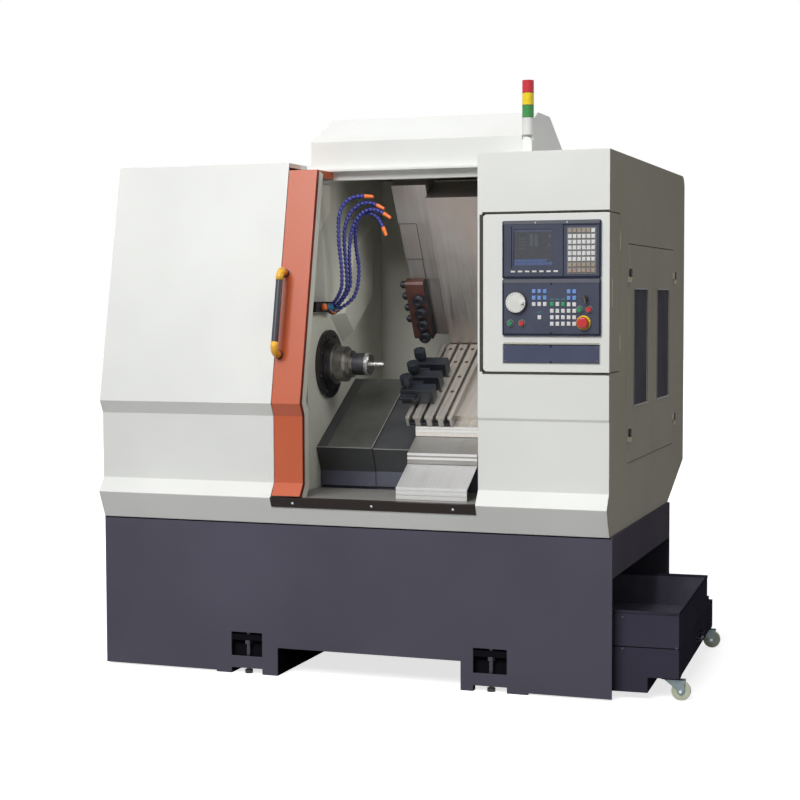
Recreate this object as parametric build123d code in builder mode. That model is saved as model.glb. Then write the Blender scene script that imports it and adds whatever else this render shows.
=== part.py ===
from build123d import *
import os
from math import acos, cos, radians, sin, tan

os.makedirs("parts", exist_ok=True)

# A slant-bed turning lathe with a sliding door, seen with the door open and the chip cart drawn out.
# +X runs along the spindle from the headstock, +Y runs to the back, +Z is up, and the floor is z = 0.

# General sizes
overrun = 6.0
sheet = 4.0
slide_gap = 0.3
turn_gap = 0.4
panel_gap = 3.0

# Base
base_width = 1864.0
base_depth = 1030.0
base_height = 539.0
base_plate = 6.0
base_deck = 10.0
base_lift = 6.0
band_height = 135.0
band_thickness = 10.0
foot_width = 236.0
left_foot_x = -493.0
right_foot_x = 414.0
arch_height = 99.0
foot_window_width = 118.0
right_window_shift = 14.75
foot_window_height = 85.0
foot_window_z = 62.0
foot_notch_height = 20.0
bracket_depth = 24.0
bracket_lap = 12.0
bracket_z = 118.0
bracket_thickness = 20.0
bulkhead_x = -300.0
chip_hole_width = 520.0
chip_hole_depth = 190.0
chip_hole_y = 120.0

# Levelling screws
screw_radius = 8.0
screw_top_z = 168.0
pad_radius = 14.0
pad_height = 12.0
nut_radius = 13.0
nut_height = 14.0

# Chip cart
cart_in = 350.0
cart_front = 58.0
cart_length = 560.0
cart_rear_room = 15.0
cart_yaw = 2.5
tank_z = 25.0
tank_top_z = 176.0
tank_wall = 5.0
recess_length = 102.0
recess_z = 76.0
deck_depth = 175.0
tray_top_z = 295.0
tray_wall = 4.0
pump_gap = 25.0
pump_inset = 12.0
pump_height = 16.0
pump_edge = 4.0
pull_width = 60.0
pull_out = 16.0
pull_radius = 4.0
pull_z = 128.0
pull_share = 0.58

# Casters
wheel_radius = 31.5
wheel_width = 20.0
wheel_trail = 31.0
wheel_inset = 28.0
axle_radius = 5.0
fork_sheet = 3.0
fork_gap = 1.5
fork_half = 17.0
hub_play = 0.5
tread_round = 2.5
caster_plate = 4.0
caster_plate_half = 30.0
kingpin_radius = 6.0

# Enclosure, with heights above the base's top
right_inset = 10.0
cover_width = 669.0
cover_depth = 344.0
pillar_width = 444.0
rear_overhang = 337.0
roof_rise = 1260.0
ledge_out = 42.0
skirt_rise = 93.0
skirt_deck = 130.0
ledge_rise = 143.0
panel_out = 6.0
under_rise = 376.0
brow_rise = 420.0
brow_out = 29.0
lean_back = 150.0
pillar_out = 10.0
pillar_brow_rise = 385.0
rear_round = 46.0
rear_round_steps = 6
rear_low_rise = 135.0
rear_fold_y = 1035.0
roof_flange = 12.0

# Hood over the work space, with heights above and below the roof
hood_front = 300.0
hood_drop = 55.0
hood_eave_up = 83.0
hood_ridge_up = 183.0
hood_ridge_y = 517.0
hood_ridge_end_y = 683.0
hood_back_y = 1020.0
hood_left_x = -240.0
hood_right_x = 545.0
hood_lip = 30.0
rail_depth = 36.0
rail_height = 8.0

# Door
stile_width = 106.0
stile_gap = 2.0
stile_flange = 55.0
door_sink = 14.0
door_foot_gap = 8.0
door_head_drop = 26.0
door_trail = 640.0
door_return_height = 26.0
door_window_width = 400.0
door_window_margin = 110.0
door_window_low_share = 0.14
door_window_high_share = 0.8
glass_thickness = 5.0
glass_seat = 20.0

# Door handle
handle_low_share = 0.2
handle_length = 290.0
handle_radius = 12.0
handle_reach = 48.0
handle_bend = 22.0
handle_inset = 16.0
handle_foot_radius = 15.0
handle_foot_height = 10.0

# Sill strip below the door
strip_height = 30.0
strip_thickness = 3.0
strip_lip = 26.0

# Headstock and the walls of the work space
wall_x = -225.0
wall_thickness = 6.0
wall_front = 212.0
wall_back = 1000.0
liner_drop = 13.0
wall_shoulder_drop = 64.0
bulge_out = 45.0
bulge_flare = 36.0
bulge_y = 476.0
bulge_width = 294.0
bulge_rise = 661.0
bulge_height = 397.0
bulge_shares = ((0.374, 0.796), (1, 1), (0.986, 0.32), (0.286, 0), (0, 0.171))
raised_plate_out = 8.0
raised_plate_lead = 46.0
raised_plate_width = 254.0
raised_plate_height = 213.0
raised_plate_shares = ((0, 0), (0, 1), (1, 1), (1, 0.554), (0.366, 0))

# Spindle
spindle_y = 410.0
spindle_rise = 542.0
cap_radius = 125.0
cap_thickness = 20.0
cap_step_radius = 92.0
cap_step = 8.0
shaft_radius = 55.0
shaft_tail = 60.0
collar_radius = 75.0
collar_length = 18.0
ring_radius = 65.0
ring_length = 40.0
neck_radius = 50.0
neck_length = 22.0
nose_radius = 40.0
nose_length = 70.0
nose_bevel = 4.0
nose_groove = 5.0
bar_radius = 9.0
bar_out = 50.0
bar_grip = 22.0

# Slant bed, in distances along the slant and square to it from the spindle axis
slant = 30.0
bed_front_s = -240.0
bed_top_t = -292.0
bed_back_s = 330.0
bed_rear_y = 992.0
guide_width = 28.0
guide_height = 22.0
guide_front_s = -170.0
guide_back_s = 240.0
guide_play = 1.0

# Way covers beside the saddle
way_cover_t = -200.0
way_cover_front_s = -252.0
way_cover_back_s = 210.0
way_cover_drop_y = 331.0
way_cover_drop_rise = 156.0
way_cover_low_rise = 102.0
way_cover_length = 215.0
way_cover_sheet = 3.0
way_leaf_sink = 5.0
way_leaf_overlap = 40.0

# Saddle and its apron
saddle_x = 165.0
saddle_width = 255.0
saddle_top_t = -180.0
saddle_front_s = -240.0
saddle_back_s = 335.0
plate_sheet = 3.0
apron_front_s = -511.0
apron_back_s = -215.0
apron_lip = 40.0

# Middle plate of the cross-slide cover
middle_t = -148.0
middle_front_s = -352.0
middle_back_s = -180.0

# Cross slide with its slotted table
table_t = -75.0
table_thickness = 40.0
table_x = 132.0
table_width = 172.0
table_plate = 28.0
slide_t = -97.0
table_front_s = -182.0
table_back_s = 400.0
upper_front_s = -230.0
upper_back_s = -150.0
slot_count = 4
slot_width = 12.0
slot_depth = 20.0
slot_foot_width = 24.0
slot_foot_depth = 10.0
slot_back_s = 264.0
cross_guide_front_s = -100.0
cross_guide_back_s = 330.0
cross_guide_inset = 30.0

# Column with the covers of the milling slide
column_front_s = 270.0
column_top_t = 534.0
arm_x = 35.0
arm_front_s = 316.0
arm_bottom_t = -60.0
arm_top_t = 573.0
leaf_sheet = 3.0
leaf_front_s = 297.0
leaf_inset = 2.0
upper_leaf_t = 417.0
middle_leaf_t = 269.0
middle_leaf_top_t = 480.0
lower_leaf_top_t = 330.0

# Power head and its tools
head_x = 24.0
head_width = 72.0
head_front_s = 272.0
head_bottom_t = -60.0
head_top_t = 186.0
head_bevel = 8.0
tool_count = 4
tool_pitch = 49.0
tool_first_t = 20.0
tool_s = 293.0
tool_nose_radius = 14.0
tool_nose_length = 17.0
tool_tip_radius = 8.0
tool_tip_length = 6.0
tool_shank_radius = 8.0
tool_shank_length = 30.0
sleeve_first_t = -40.0
sleeve_pitch = 52.0
sleeve_radius = 15.0
sleeve_length = 25.0
sleeve_bore_radius = 8.0
sleeve_x = 70.0

# Tool posts on the table
post_count = 3
post_first_s = -120.0
post_pitch = 89.0
post_x = 96.0
post_length = 120.0
post_depth = 46.0
post_height = 56.0
post_cap_radius = 23.0
post_cap_height = 28.0
post_neck_radius = 15.0
post_neck_height = 18.0
post_tool = 9.0
post_tool_reach = 20.0

# Coolant manifold and hoses
manifold_y = 195.0
manifold_length = 190.0
manifold_rise = 733.0
manifold_height = 38.0
manifold_out = 42.0
port_radius = 9.0
port_length = 34.0
hose_radius = 5.2
corner_share = 0.45
nozzle_radius = 6.0
nozzle_tip_radius = 3.5
nozzle_length = 34.0

# Routes of the hoses, from the manifold to the nozzle, set out from the middle of the base's front top edge
hose_routes = {
    "hose_1": (
        (-174.0, 322.0, 758.0),
        (-123.0, 292.0, 798.0),
        (-111.0, 268.0, 878.0),
        (-117.0, 252.0, 973.0),
        (-120.0, 252.0, 1065.0),
        (-110.0, 258.0, 1113.0),
        (-75.0, 265.0, 1144.0),
        (-29.0, 274.0, 1142.0),
    ),
    "hose_2": (
        (-169.0, 346.0, 752.0),
        (-114.0, 322.0, 798.0),
        (-108.0, 306.0, 867.0),
        (-112.0, 296.0, 950.0),
        (-112.0, 288.0, 1020.0),
        (-95.0, 284.0, 1075.0),
        (-64.0, 282.0, 1119.0),
        (-11.0, 282.0, 1132.0),
        (32.0, 284.0, 1107.0),
    ),
    "hose_3": (
        (-166.0, 368.0, 760.0),
        (-111.0, 352.0, 810.0),
        (-109.0, 340.0, 879.0),
        (-108.0, 328.0, 951.0),
        (-92.0, 312.0, 1025.0),
        (-60.0, 299.0, 1080.0),
        (-4.0, 288.0, 1102.0),
        (47.0, 284.0, 1072.0),
    ),
    "hose_4": (
        (-172.0, 392.0, 745.0),
        (-124.0, 404.0, 771.0),
        (-104.0, 412.0, 831.0),
        (-99.0, 408.0, 898.0),
        (-105.0, 390.0, 965.0),
        (-96.0, 362.0, 1025.0),
        (-60.0, 322.0, 1073.0),
        (-3.0, 306.0, 1093.0),
        (49.0, 302.0, 1052.0),
    ),
}

# Operator panel, with places measured from its left and bottom edges
panel_left_gap = 19.0
panel_rise = 539.0
panel_height = 518.0
panel_depth = 152.0
panel_hinge_gap = 8.0
panel_corner = 12.0
pin_radius = 3.9
pin_length = 60.0
unit_in = 68.0
unit_width = 330.0
unit_proud = 8.0
unit_corner = 6.0
unit_flange = 10.0
unit_depth = 60.0
display_up = 306.0
display_height = 189.0
operator_up = 119.0
operator_height = 186.0
blank_in = 70.0
blank_width = 322.0
blank_up = 30.0
blank_height = 58.0
blank_thickness = 2.5
side_pull_length = 92.0
side_pull_up = 210.0
side_pull_y = 24.0
side_pull_width = 12.0
side_pull_out = 3.0

# Display unit, with places measured from its left and bottom edges
screen_in = 39.0
screen_width = 130.0
screen_up = 43.0
screen_height = 118.0
screen_sink = 4.0
keypad_in = 220.0
keypad_up = 16.0
key_pitch = 15.4
key_row_pitch = 18.4
key_size = 11.5
key_height = 1.5
keypad_columns_count = 6
keypad_rows_count = 8
soft_key_count = 7
soft_key_in = 25.0
soft_key_up = 20.5
soft_key_pitch = 24.0
soft_key_width = 14.0
soft_key_height = 5.0

# Blocks of keys on the operator unit, with places measured from its left and bottom edges
block_key_pitch = 18.5
block_row_pitch = 21.0
left_block_in = 98.0
middle_block_in = 159.0
right_block_in = 215.0
single_key_in = 117.0
upper_block_up = 93.0
lower_block_up = 29.0
single_key_up = 50.0
left_block_counts = (3, 3)
green_block_counts = (3, 1)
white_block_counts = (3, 3)
right_block_counts = (2, 6)
single_block_counts = (1, 1)

# Operator controls, with places measured from the operator unit's left and bottom edges
dial_in = 49.0
dial_up = 109.0
dial_radius = 33.0
dial_height = 15.0
dial_shaft_radius = 6.0
dial_shaft_length = 16.0
dial_knob_radius = 5.0
dial_knob_height = 9.0
dial_knob_share = 0.68
button_radius = 8.0
button_collar_radius = 11.5
button_collar_height = 3.0
button_height = 9.0
button_depth = 12.0
button_travel = 4.0
low_button_up = 41.0
low_green_in = 28.0
low_red_in = 67.0
high_button_up = 86.0
high_green_in = 261.0
high_red_in = 292.0
stop_in = 274.0
stop_up = 43.0
stop_radius = 19.0
stop_height = 15.0
stop_ring_radius = 21.5
stop_ring_height = 5.0
stop_stem_radius = 8.0
stop_travel = 5.0
selector_in = 278.0
selector_up = 123.0
selector_radius = 9.0
selector_collar_radius = 11.0
selector_height = 9.0
selector_blade = 4.0
selector_blade_height = 12.0

# Signal tower, on the pillar's roof
tower_in = 115.0
tower_y = 200.0
tower_pivot_up = 49.0
tower_radius = 20.0
tower_neck = 24.0
tower_body = 59.0
lens_height = 41.3
lens_count = 3
tower_band_groove = 1.5
tower_lug_radius = 17.0
tower_lug_thickness = 14.0
tower_pin_radius = 5.0

# Cabinet doors on the right side, with heights above their lower edge
cabinet_front = 285.0
cabinet_back = 1120.0
cabinet_rise = 220.0
cabinet_height = 742.0
leaf_thickness = 16.0
leaf_proud = 2.0
cabinet_hinge_out = 9.0
cabinet_hinge_radius = 5.0
cabinet_hinge_leaf = 10.0
cabinet_hinge_length = 46.0
cabinet_knuckle_share = 0.4
cabinet_hinge_low_up = 71.0
cabinet_hinge_high_up = 613.0
window_width = 236.0
window_up = 191.0
window_height = 399.0
window_sink = 4.0
window_corner = 6.0

# Heights worked out from the sizes above
roof_z = base_height + roof_rise
skirt_top_z = base_height + skirt_rise
ledge_top_z = base_height + ledge_rise
under_z = base_height + under_rise
brow_z = base_height + brow_rise
pillar_brow_z = base_height + pillar_brow_rise
rear_low_z = base_height + rear_low_rise
hood_bottom_z = roof_z - hood_drop
hood_eave_z = roof_z + hood_eave_up
hood_ridge_z = roof_z + hood_ridge_up
door_bottom_z = skirt_top_z + door_foot_gap
door_top_z = roof_z - door_head_drop
liner_top_z = roof_z - liner_drop
wall_shoulder_z = roof_z - wall_shoulder_drop
spindle_z = base_height + spindle_rise
manifold_z = base_height + manifold_rise
panel_bottom_z = base_height + panel_rise
panel_top_z = panel_bottom_z + panel_height
display_z = panel_bottom_z + display_up
operator_z = panel_bottom_z + operator_up
tower_pivot_z = roof_z + tower_pivot_up
tower_bottom_z = tower_pivot_z + tower_neck
tower_green_z = tower_bottom_z + tower_body
tower_top_z = tower_green_z + lens_height * lens_count
cabinet_bottom_z = base_height + cabinet_rise
cabinet_top_z = cabinet_bottom_z + cabinet_height
cabinet_hinge_zs = (cabinet_bottom_z + cabinet_hinge_low_up, cabinet_bottom_z + cabinet_hinge_high_up)

# Sizes of the cart that follow the base's bay
cart_out = cart_length - cart_in
cart_depth = base_depth - cart_front - cart_rear_room
tray_depth = cart_depth - deck_depth

# Reference lines worked out from the sizes above
mid_x = -(cart_out + wheel_trail + wheel_radius - wheel_inset) / 2
front_y = -(base_depth + rear_overhang - ledge_out) / 2


def at_x(distance):
    """X of a line that lies this far to the right of the base's middle."""
    return mid_x + distance


def at_y(distance):
    """Y of a line that lies this far behind the base's front."""
    return front_y + distance


left_x = at_x(-base_width / 2)
base_right_x = at_x(base_width / 2)
right_x = base_right_x - right_inset
cover_x = left_x + cover_width
pillar_x = right_x - pillar_width
stile_left_x = cover_x + stile_gap
stile_right_x = stile_left_x + stile_width
rear_y = at_y(base_depth + rear_overhang)
slant_plane = Plane(
    origin=(0, at_y(spindle_y), spindle_z),
    x_dir=(0, cos(radians(slant)), sin(radians(slant))),
    z_dir=(1, 0, 0),
)

# Front and rear outlines of the enclosure, as (y, z) points
skirt_foot = (at_y(0), base_height)
ledge_edge = (at_y(-ledge_out), skirt_top_z)
panel_foot = (at_y(-panel_out), ledge_top_z)
panel_head = (at_y(-panel_out), under_z)
brow = (at_y(-brow_out), brow_z)
crown = (at_y(lean_back), roof_z)
pillar_brow = (at_y(-pillar_out), pillar_brow_z)
pillar_crown = (at_y(-pillar_out), roof_z)
rear_turns = [radians(90) * step / rear_round_steps for step in range(rear_round_steps + 1)]
rear_corner = [
    (rear_y - rear_round + rear_round * sin(turn), roof_z - rear_round + rear_round * cos(turn))
    for turn in rear_turns
]
rear_line = rear_corner + [
    (rear_y, rear_low_z),
    (at_y(rear_fold_y), base_height),
]
front_line = [ledge_edge, panel_foot, panel_head, brow, crown]
pillar_line = [ledge_edge, panel_foot, panel_head, pillar_brow, pillar_crown]


def right_normal(start, end):
    """Unit vector that points to the right of the way from start to end."""
    step = Vector(end[0] - start[0], end[1] - start[1]).normalized()
    return Vector(step.Y, -step.X)


def offset_line(points, distance):
    """Line that runs beside the given one, on its right-hand side, with mitred corners."""
    normals = [right_normal(a, b) for a, b in zip(points, points[1:])]
    before = [normals[0]] + normals
    after = normals + [normals[-1]]
    moved = []
    for point, first, second in zip(points, before, after):
        mitre = (first + second) / (1 + first.dot(second)) * distance
        moved.append((point[0] + mitre.X, point[1] + mitre.Y))
    return moved


def folded(points, gauge):
    """Closed outline of a sheet that is bent along a line and lies on its right-hand side."""
    return points + offset_line(points, gauge)[::-1]


def between(start, end, share):
    """Point at a share of the way from start to end."""
    return (start[0] + (end[0] - start[0]) * share, start[1] + (end[1] - start[1]) * share)


def at_height(start, end, z):
    """Point at a height on the line through start and end."""
    return between(start, end, (z - start[1]) / (end[1] - start[1]))


def prism_x(points, x_from, x_to, plane=Plane.YZ, mode=Mode.ADD):
    """Extrude an outline along X."""
    with BuildSketch(plane.offset(x_from)) as section:
        with BuildLine():
            Polyline(*points, close=True)
        make_face()
    extrude(section.sketch, amount=x_to - x_from, mode=mode)


def block(x_span, y_span, z_span, mode=Mode.ADD):
    """Rectangular block between three pairs of limits."""
    with BuildSketch(Plane.XY.offset(z_span[0])) as plan:
        with Locations((sum(x_span) / 2, sum(y_span) / 2)):
            Rectangle(x_span[1] - x_span[0], y_span[1] - y_span[0])
    extrude(plan.sketch, amount=z_span[1] - z_span[0], mode=mode)


def slant_block(x_span, s_span, t_span, mode=Mode.ADD):
    """Rectangular block in line with the slant bed."""
    with BuildSketch(slant_plane.offset(x_span[0])) as section:
        with Locations((sum(s_span) / 2, sum(t_span) / 2)):
            Rectangle(s_span[1] - s_span[0], t_span[1] - t_span[0])
    extrude(section.sketch, amount=x_span[1] - x_span[0], mode=mode)


def round_x(y, z, radius, x_from, x_to, mode=Mode.ADD):
    """Cylinder along X."""
    with BuildSketch(Plane.YZ.offset(x_from)) as section:
        with Locations((y, z)):
            Circle(radius)
    extrude(section.sketch, amount=x_to - x_from, mode=mode)


def round_y(x, z, radius, y_from, y_to, mode=Mode.ADD):
    """Cylinder along Y."""
    with BuildSketch(Plane.XZ.offset(-y_from)) as section:
        with Locations((x, z)):
            Circle(radius)
    extrude(section.sketch, amount=y_from - y_to, mode=mode)


def round_z(x, y, radius, z_from, z_to, mode=Mode.ADD):
    """Cylinder along Z."""
    with BuildSketch(Plane.XY.offset(z_from)) as section:
        with Locations((x, y)):
            Circle(radius)
    extrude(section.sketch, amount=z_to - z_from, mode=mode)


def trim_below(z, depth, x_span, y_span):
    """Cut a piece off level at its foot."""
    block(x_span, y_span, (z - depth, z), mode=Mode.SUBTRACT)


def slant_point(x, s, t):
    """Point given by its X and its distances along and square to the slant."""
    return slant_plane.from_local_coords(Vector(s, t, x))


def save(piece, name):
    """Label a finished piece and write it."""
    piece.part.label = name
    export_step(piece.part, f"parts/{name}.step")


# Base: welded plate walls with feet, an arch in front, and a bay for the cart that is open on the right
left_window_x = at_x(left_foot_x + foot_width / 2)
right_window_x = at_x(right_foot_x + foot_width / 2 - right_window_shift)
window_xs = (left_window_x, right_window_x)
bracket_half = foot_window_width / 2 + bracket_lap
foot_edges = [
    (left_x, base_lift),
    (at_x(left_foot_x), base_lift),
    (at_x(left_foot_x), 0),
    (at_x(left_foot_x + foot_width), 0),
    (at_x(left_foot_x + foot_width), arch_height),
    (at_x(right_foot_x), arch_height),
    (at_x(right_foot_x), 0),
    (at_x(right_foot_x + foot_width), 0),
    (at_x(right_foot_x + foot_width), base_lift),
    (base_right_x, base_lift),
    (base_right_x, base_height),
    (left_x, base_height),
]
wall_fronts = (at_y(0), at_y(base_depth - base_plate))
screw_ys = (
    at_y(base_plate + bracket_depth / 2),
    at_y(base_depth - base_plate - bracket_depth / 2),
)
band_z = base_height - band_height
with BuildPart() as base:
    for wall_y in wall_fronts:
        with BuildSketch(Plane.XZ.offset(-wall_y)):
            with BuildLine():
                Polyline(*foot_edges, close=True)
            make_face()
            for window_x in window_xs:
                with Locations((window_x, foot_window_z + foot_window_height / 2)):
                    Rectangle(foot_window_width, foot_window_height, mode=Mode.SUBTRACT)
                with Locations((window_x, foot_notch_height / 2)):
                    Rectangle(foot_window_width, foot_notch_height, mode=Mode.SUBTRACT)
        extrude(amount=-base_plate)
    inside_y = (at_y(base_plate), at_y(base_depth - base_plate))
    block((left_x, left_x + base_plate), inside_y, (base_lift, base_height))
    block((left_x + base_plate, base_right_x), inside_y, (base_height - base_deck, base_height))
    block((base_right_x - band_thickness, base_right_x), inside_y, (band_z, base_height - base_deck))
    block(
        (at_x(bulkhead_x), at_x(bulkhead_x) + base_plate),
        inside_y,
        (base_lift, base_height - base_deck),
    )
    block(
        (at_x(wall_x), at_x(wall_x) + chip_hole_width),
        (at_y(chip_hole_y), at_y(chip_hole_y + chip_hole_depth)),
        (base_height - base_deck - overrun, base_height + overrun),
        mode=Mode.SUBTRACT,
    )
    for window_x in window_xs:
        for screw_y in screw_ys:
            block(
                (window_x - bracket_half, window_x + bracket_half),
                (screw_y - bracket_depth / 2, screw_y + bracket_depth / 2),
                (bracket_z, bracket_z + bracket_thickness),
            )
            round_z(
                window_x,
                screw_y,
                screw_radius + turn_gap,
                bracket_z - overrun,
                bracket_z + bracket_thickness + overrun,
                mode=Mode.SUBTRACT,
            )
save(base, "base")

with BuildPart() as levelling_screws:
    for window_x in window_xs:
        for screw_y in screw_ys:
            round_z(window_x, screw_y, pad_radius, 0, pad_height)
            round_z(window_x, screw_y, screw_radius, pad_height, screw_top_z)
            with BuildSketch(Plane.XY.offset(bracket_z - nut_height)):
                with Locations((window_x, screw_y)):
                    RegularPolygon(nut_radius, 6, major_radius=False)
            extrude(amount=nut_height)
save(levelling_screws, "levelling_screws")

# Flared skirt along the whole front, with the deck that the front panels stand on
with BuildPart() as front_skirt:
    skirt_line = [skirt_foot, ledge_edge, (at_y(skirt_deck), skirt_top_z)]
    prism_x(folded(skirt_line, sheet), left_x + sheet, right_x - sheet)
save(front_skirt, "front_skirt")

# Left cover: one folded front and roof, closed by an end wall, trimmed to the skirt's deck
deck_y = (at_y(-ledge_out) - overrun, at_y(skirt_deck))
with BuildPart() as left_cover:
    roof_end = (at_y(cover_depth), roof_z)
    prism_x(folded(front_line + [roof_end], sheet), left_x + sheet, cover_x)
    trim_below(skirt_top_z, ledge_out, (left_x + sheet, cover_x), deck_y)
    end_wall = [skirt_foot] + front_line + [roof_end, (at_y(cover_depth), base_height)]
    prism_x(end_wall, left_x, left_x + sheet)
    block(
        (cover_x - sheet, cover_x),
        (at_y(lean_back) + sheet, at_y(cover_depth)),
        (roof_z - sheet - roof_flange, roof_z - sheet),
    )
save(left_cover, "left_cover")

# Rear housing behind the cover and the work space, with a roof opening under the hood
with BuildPart() as rear_housing:
    housing_start = (at_y(cover_depth), roof_z)
    prism_x(folded([housing_start] + rear_line, sheet), left_x + sheet, pillar_x)
    rear_wall = [housing_start] + rear_line + [(at_y(cover_depth), base_height)]
    prism_x(rear_wall, left_x, left_x + sheet)
    block(
        (at_x(hood_left_x) + sheet, pillar_x - sheet),
        (at_y(cover_depth) - overrun, at_y(hood_back_y) - hood_lip),
        (roof_z - sheet - overrun, roof_z + overrun),
        mode=Mode.SUBTRACT,
    )
save(rear_housing, "rear_housing")

# Pillar: the right-hand housing, with the recess for the operator panel and the cabinet opening
panel_left_x = pillar_x + panel_left_gap
hinge_x = right_x + cabinet_hinge_out
tower_x = pillar_x + tower_in
knuckle_length = cabinet_hinge_length * cabinet_knuckle_share
panel_hinge_y = at_y(-pillar_out) + panel_depth + panel_hinge_gap / 2
with BuildPart() as pillar:
    shell_line = pillar_line + rear_line
    prism_x(folded(shell_line, sheet), pillar_x + sheet, right_x - sheet)
    trim_below(skirt_top_z, ledge_out, (pillar_x, right_x - sheet), deck_y)
    right_wall = [skirt_foot] + shell_line
    prism_x(right_wall, right_x - sheet, right_x)
    left_wall = shell_line + [(at_y(rear_fold_y), skirt_top_z)]
    prism_x(left_wall, pillar_x, pillar_x + sheet)
    block(
        (panel_left_x - panel_gap, right_x + overrun),
        (at_y(-pillar_out) - overrun, at_y(-pillar_out) + panel_depth + panel_hinge_gap),
        (panel_bottom_z - panel_gap, panel_top_z + panel_gap),
        mode=Mode.SUBTRACT,
    )
    block(
        (right_x - sheet - overrun, right_x + overrun),
        (at_y(cabinet_front) - panel_gap, at_y(cabinet_back) + panel_gap),
        (cabinet_bottom_z - panel_gap, cabinet_top_z + panel_gap),
        mode=Mode.SUBTRACT,
    )
    for hinge_y, outer_y in (
        (at_y(cabinet_front), at_y(cabinet_front) - cabinet_hinge_leaf),
        (at_y(cabinet_back), at_y(cabinet_back) + cabinet_hinge_leaf),
    ):
        for hinge_z in cabinet_hinge_zs:
            knuckle_z = (hinge_z, hinge_z + knuckle_length)
            round_z(hinge_x, hinge_y, cabinet_hinge_radius, *knuckle_z)
            block((right_x - sheet, hinge_x), sorted((hinge_y, outer_y)), knuckle_z)
    for pin_z in (panel_bottom_z + pin_length, panel_top_z - pin_length - pin_length):
        round_z(right_x, panel_hinge_y + turn_gap, pin_radius, pin_z, pin_z + pin_length)
    lug_front = at_y(tower_y) - tower_lug_thickness
    round_y(tower_x, tower_pivot_z, tower_lug_radius, lug_front, at_y(tower_y) - slide_gap)
    block(
        (tower_x - tower_lug_radius, tower_x + tower_lug_radius),
        (lug_front, at_y(tower_y) - slide_gap),
        (roof_z - sheet, tower_pivot_z),
    )
    round_y(
        tower_x,
        tower_pivot_z,
        tower_pin_radius,
        lug_front,
        at_y(tower_y) + tower_lug_thickness,
    )
save(pillar, "pillar")

# Hood: a ridged roof over the work space, its header, and the rail that the door hangs from
with BuildPart() as hood:
    hood_line = [
        (at_y(hood_front), roof_z),
        (at_y(hood_front), hood_eave_z),
        (at_y(hood_ridge_y), hood_ridge_z),
        (at_y(hood_ridge_end_y), hood_ridge_z),
        (at_y(hood_back_y), roof_z),
    ]
    prism_x(folded(hood_line, sheet), at_x(hood_left_x) + sheet, at_x(hood_right_x) - sheet)
    prism_x(hood_line, at_x(hood_left_x), at_x(hood_left_x) + sheet)
    prism_x(hood_line, at_x(hood_right_x) - sheet, at_x(hood_right_x))
    trim_below(
        roof_z,
        hood_lip,
        (at_x(hood_left_x), at_x(hood_right_x)),
        (at_y(hood_front), at_y(hood_back_y) + overrun),
    )
    header_line = [
        (at_y(hood_front) + hood_lip, hood_bottom_z),
        (at_y(hood_front), hood_bottom_z),
        (at_y(hood_front), roof_z),
        (at_y(cover_depth), roof_z),
    ]
    prism_x(folded(header_line, sheet), cover_x + panel_gap, pillar_x)
    rail_z = door_top_z + slide_gap
    block(
        (left_x + sheet, pillar_x),
        (at_y(hood_front) - rail_depth, at_y(hood_front)),
        (rail_z, rail_z + rail_height),
    )
save(hood, "hood")

# Door: a folded panel that slides behind the left cover, led by a broad stile
door_line = offset_line(front_line, door_sink)
door_foot = at_height(door_line[0], door_line[1], door_bottom_z)
door_slope = (door_line[3], door_line[4])
slope_height = door_slope[1][1] - door_slope[0][1]
door_head = at_height(*door_slope, door_top_z - door_return_height)
door_back_y = at_y(hood_front) - panel_gap
panel_points = [door_foot, door_line[1], door_line[2], door_line[3], door_head]
panel_points.append((door_back_y, door_head[1]))
window_low = between(*door_slope, door_window_low_share)
window_high = between(*door_slope, door_window_high_share)
door_left_x = stile_left_x - door_trail
window_x = (
    stile_left_x - door_window_margin - door_window_width,
    stile_left_x - door_window_margin,
)
with BuildPart() as door_panel:
    prism_x(folded(panel_points, sheet), door_left_x, stile_left_x)
    pane_cut = offset_line([window_low, window_high], -overrun) + offset_line(
        [window_low, window_high], sheet + overrun
    )[::-1]
    prism_x(pane_cut, *window_x, mode=Mode.SUBTRACT)
    block(
        (door_left_x, stile_left_x),
        (at_y(hood_front) - rail_depth, door_back_y),
        (door_head[1], door_top_z),
    )
save(door_panel, "door_panel")

with BuildPart() as door_window:
    seat_low, seat_high = offset_line([window_low, window_high], sheet)
    reach = glass_seat / slope_height
    pane_line = [between(seat_low, seat_high, -reach), between(seat_low, seat_high, 1 + reach)]
    prism_x(folded(pane_line, glass_thickness), window_x[0] - glass_seat, window_x[1] + glass_seat)
save(door_window, "door_window")

stile_foot = at_height(ledge_edge, panel_foot, door_bottom_z)
stile_head = at_height(brow, crown, door_top_z)
stile_points = [stile_foot, panel_foot, panel_head, brow, stile_head]
with BuildPart() as door_stile:
    prism_x(folded(stile_points + [(door_back_y, door_top_z)], sheet), stile_left_x, stile_right_x)
    prism_x(folded(stile_points, stile_flange), stile_right_x - sheet, stile_right_x)
    prism_x(folded(stile_points, door_sink + sheet), stile_left_x, stile_left_x + sheet)
    for flange_x in (stile_left_x, stile_right_x - sheet):
        block(
            (flange_x, flange_x + sheet),
            (stile_head[0] + sheet, door_back_y),
            (door_top_z - door_return_height, door_top_z),
        )
    trim_below(
        door_bottom_z,
        stile_flange,
        (stile_left_x, stile_right_x),
        deck_y,
    )
save(door_stile, "door_stile")

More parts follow.
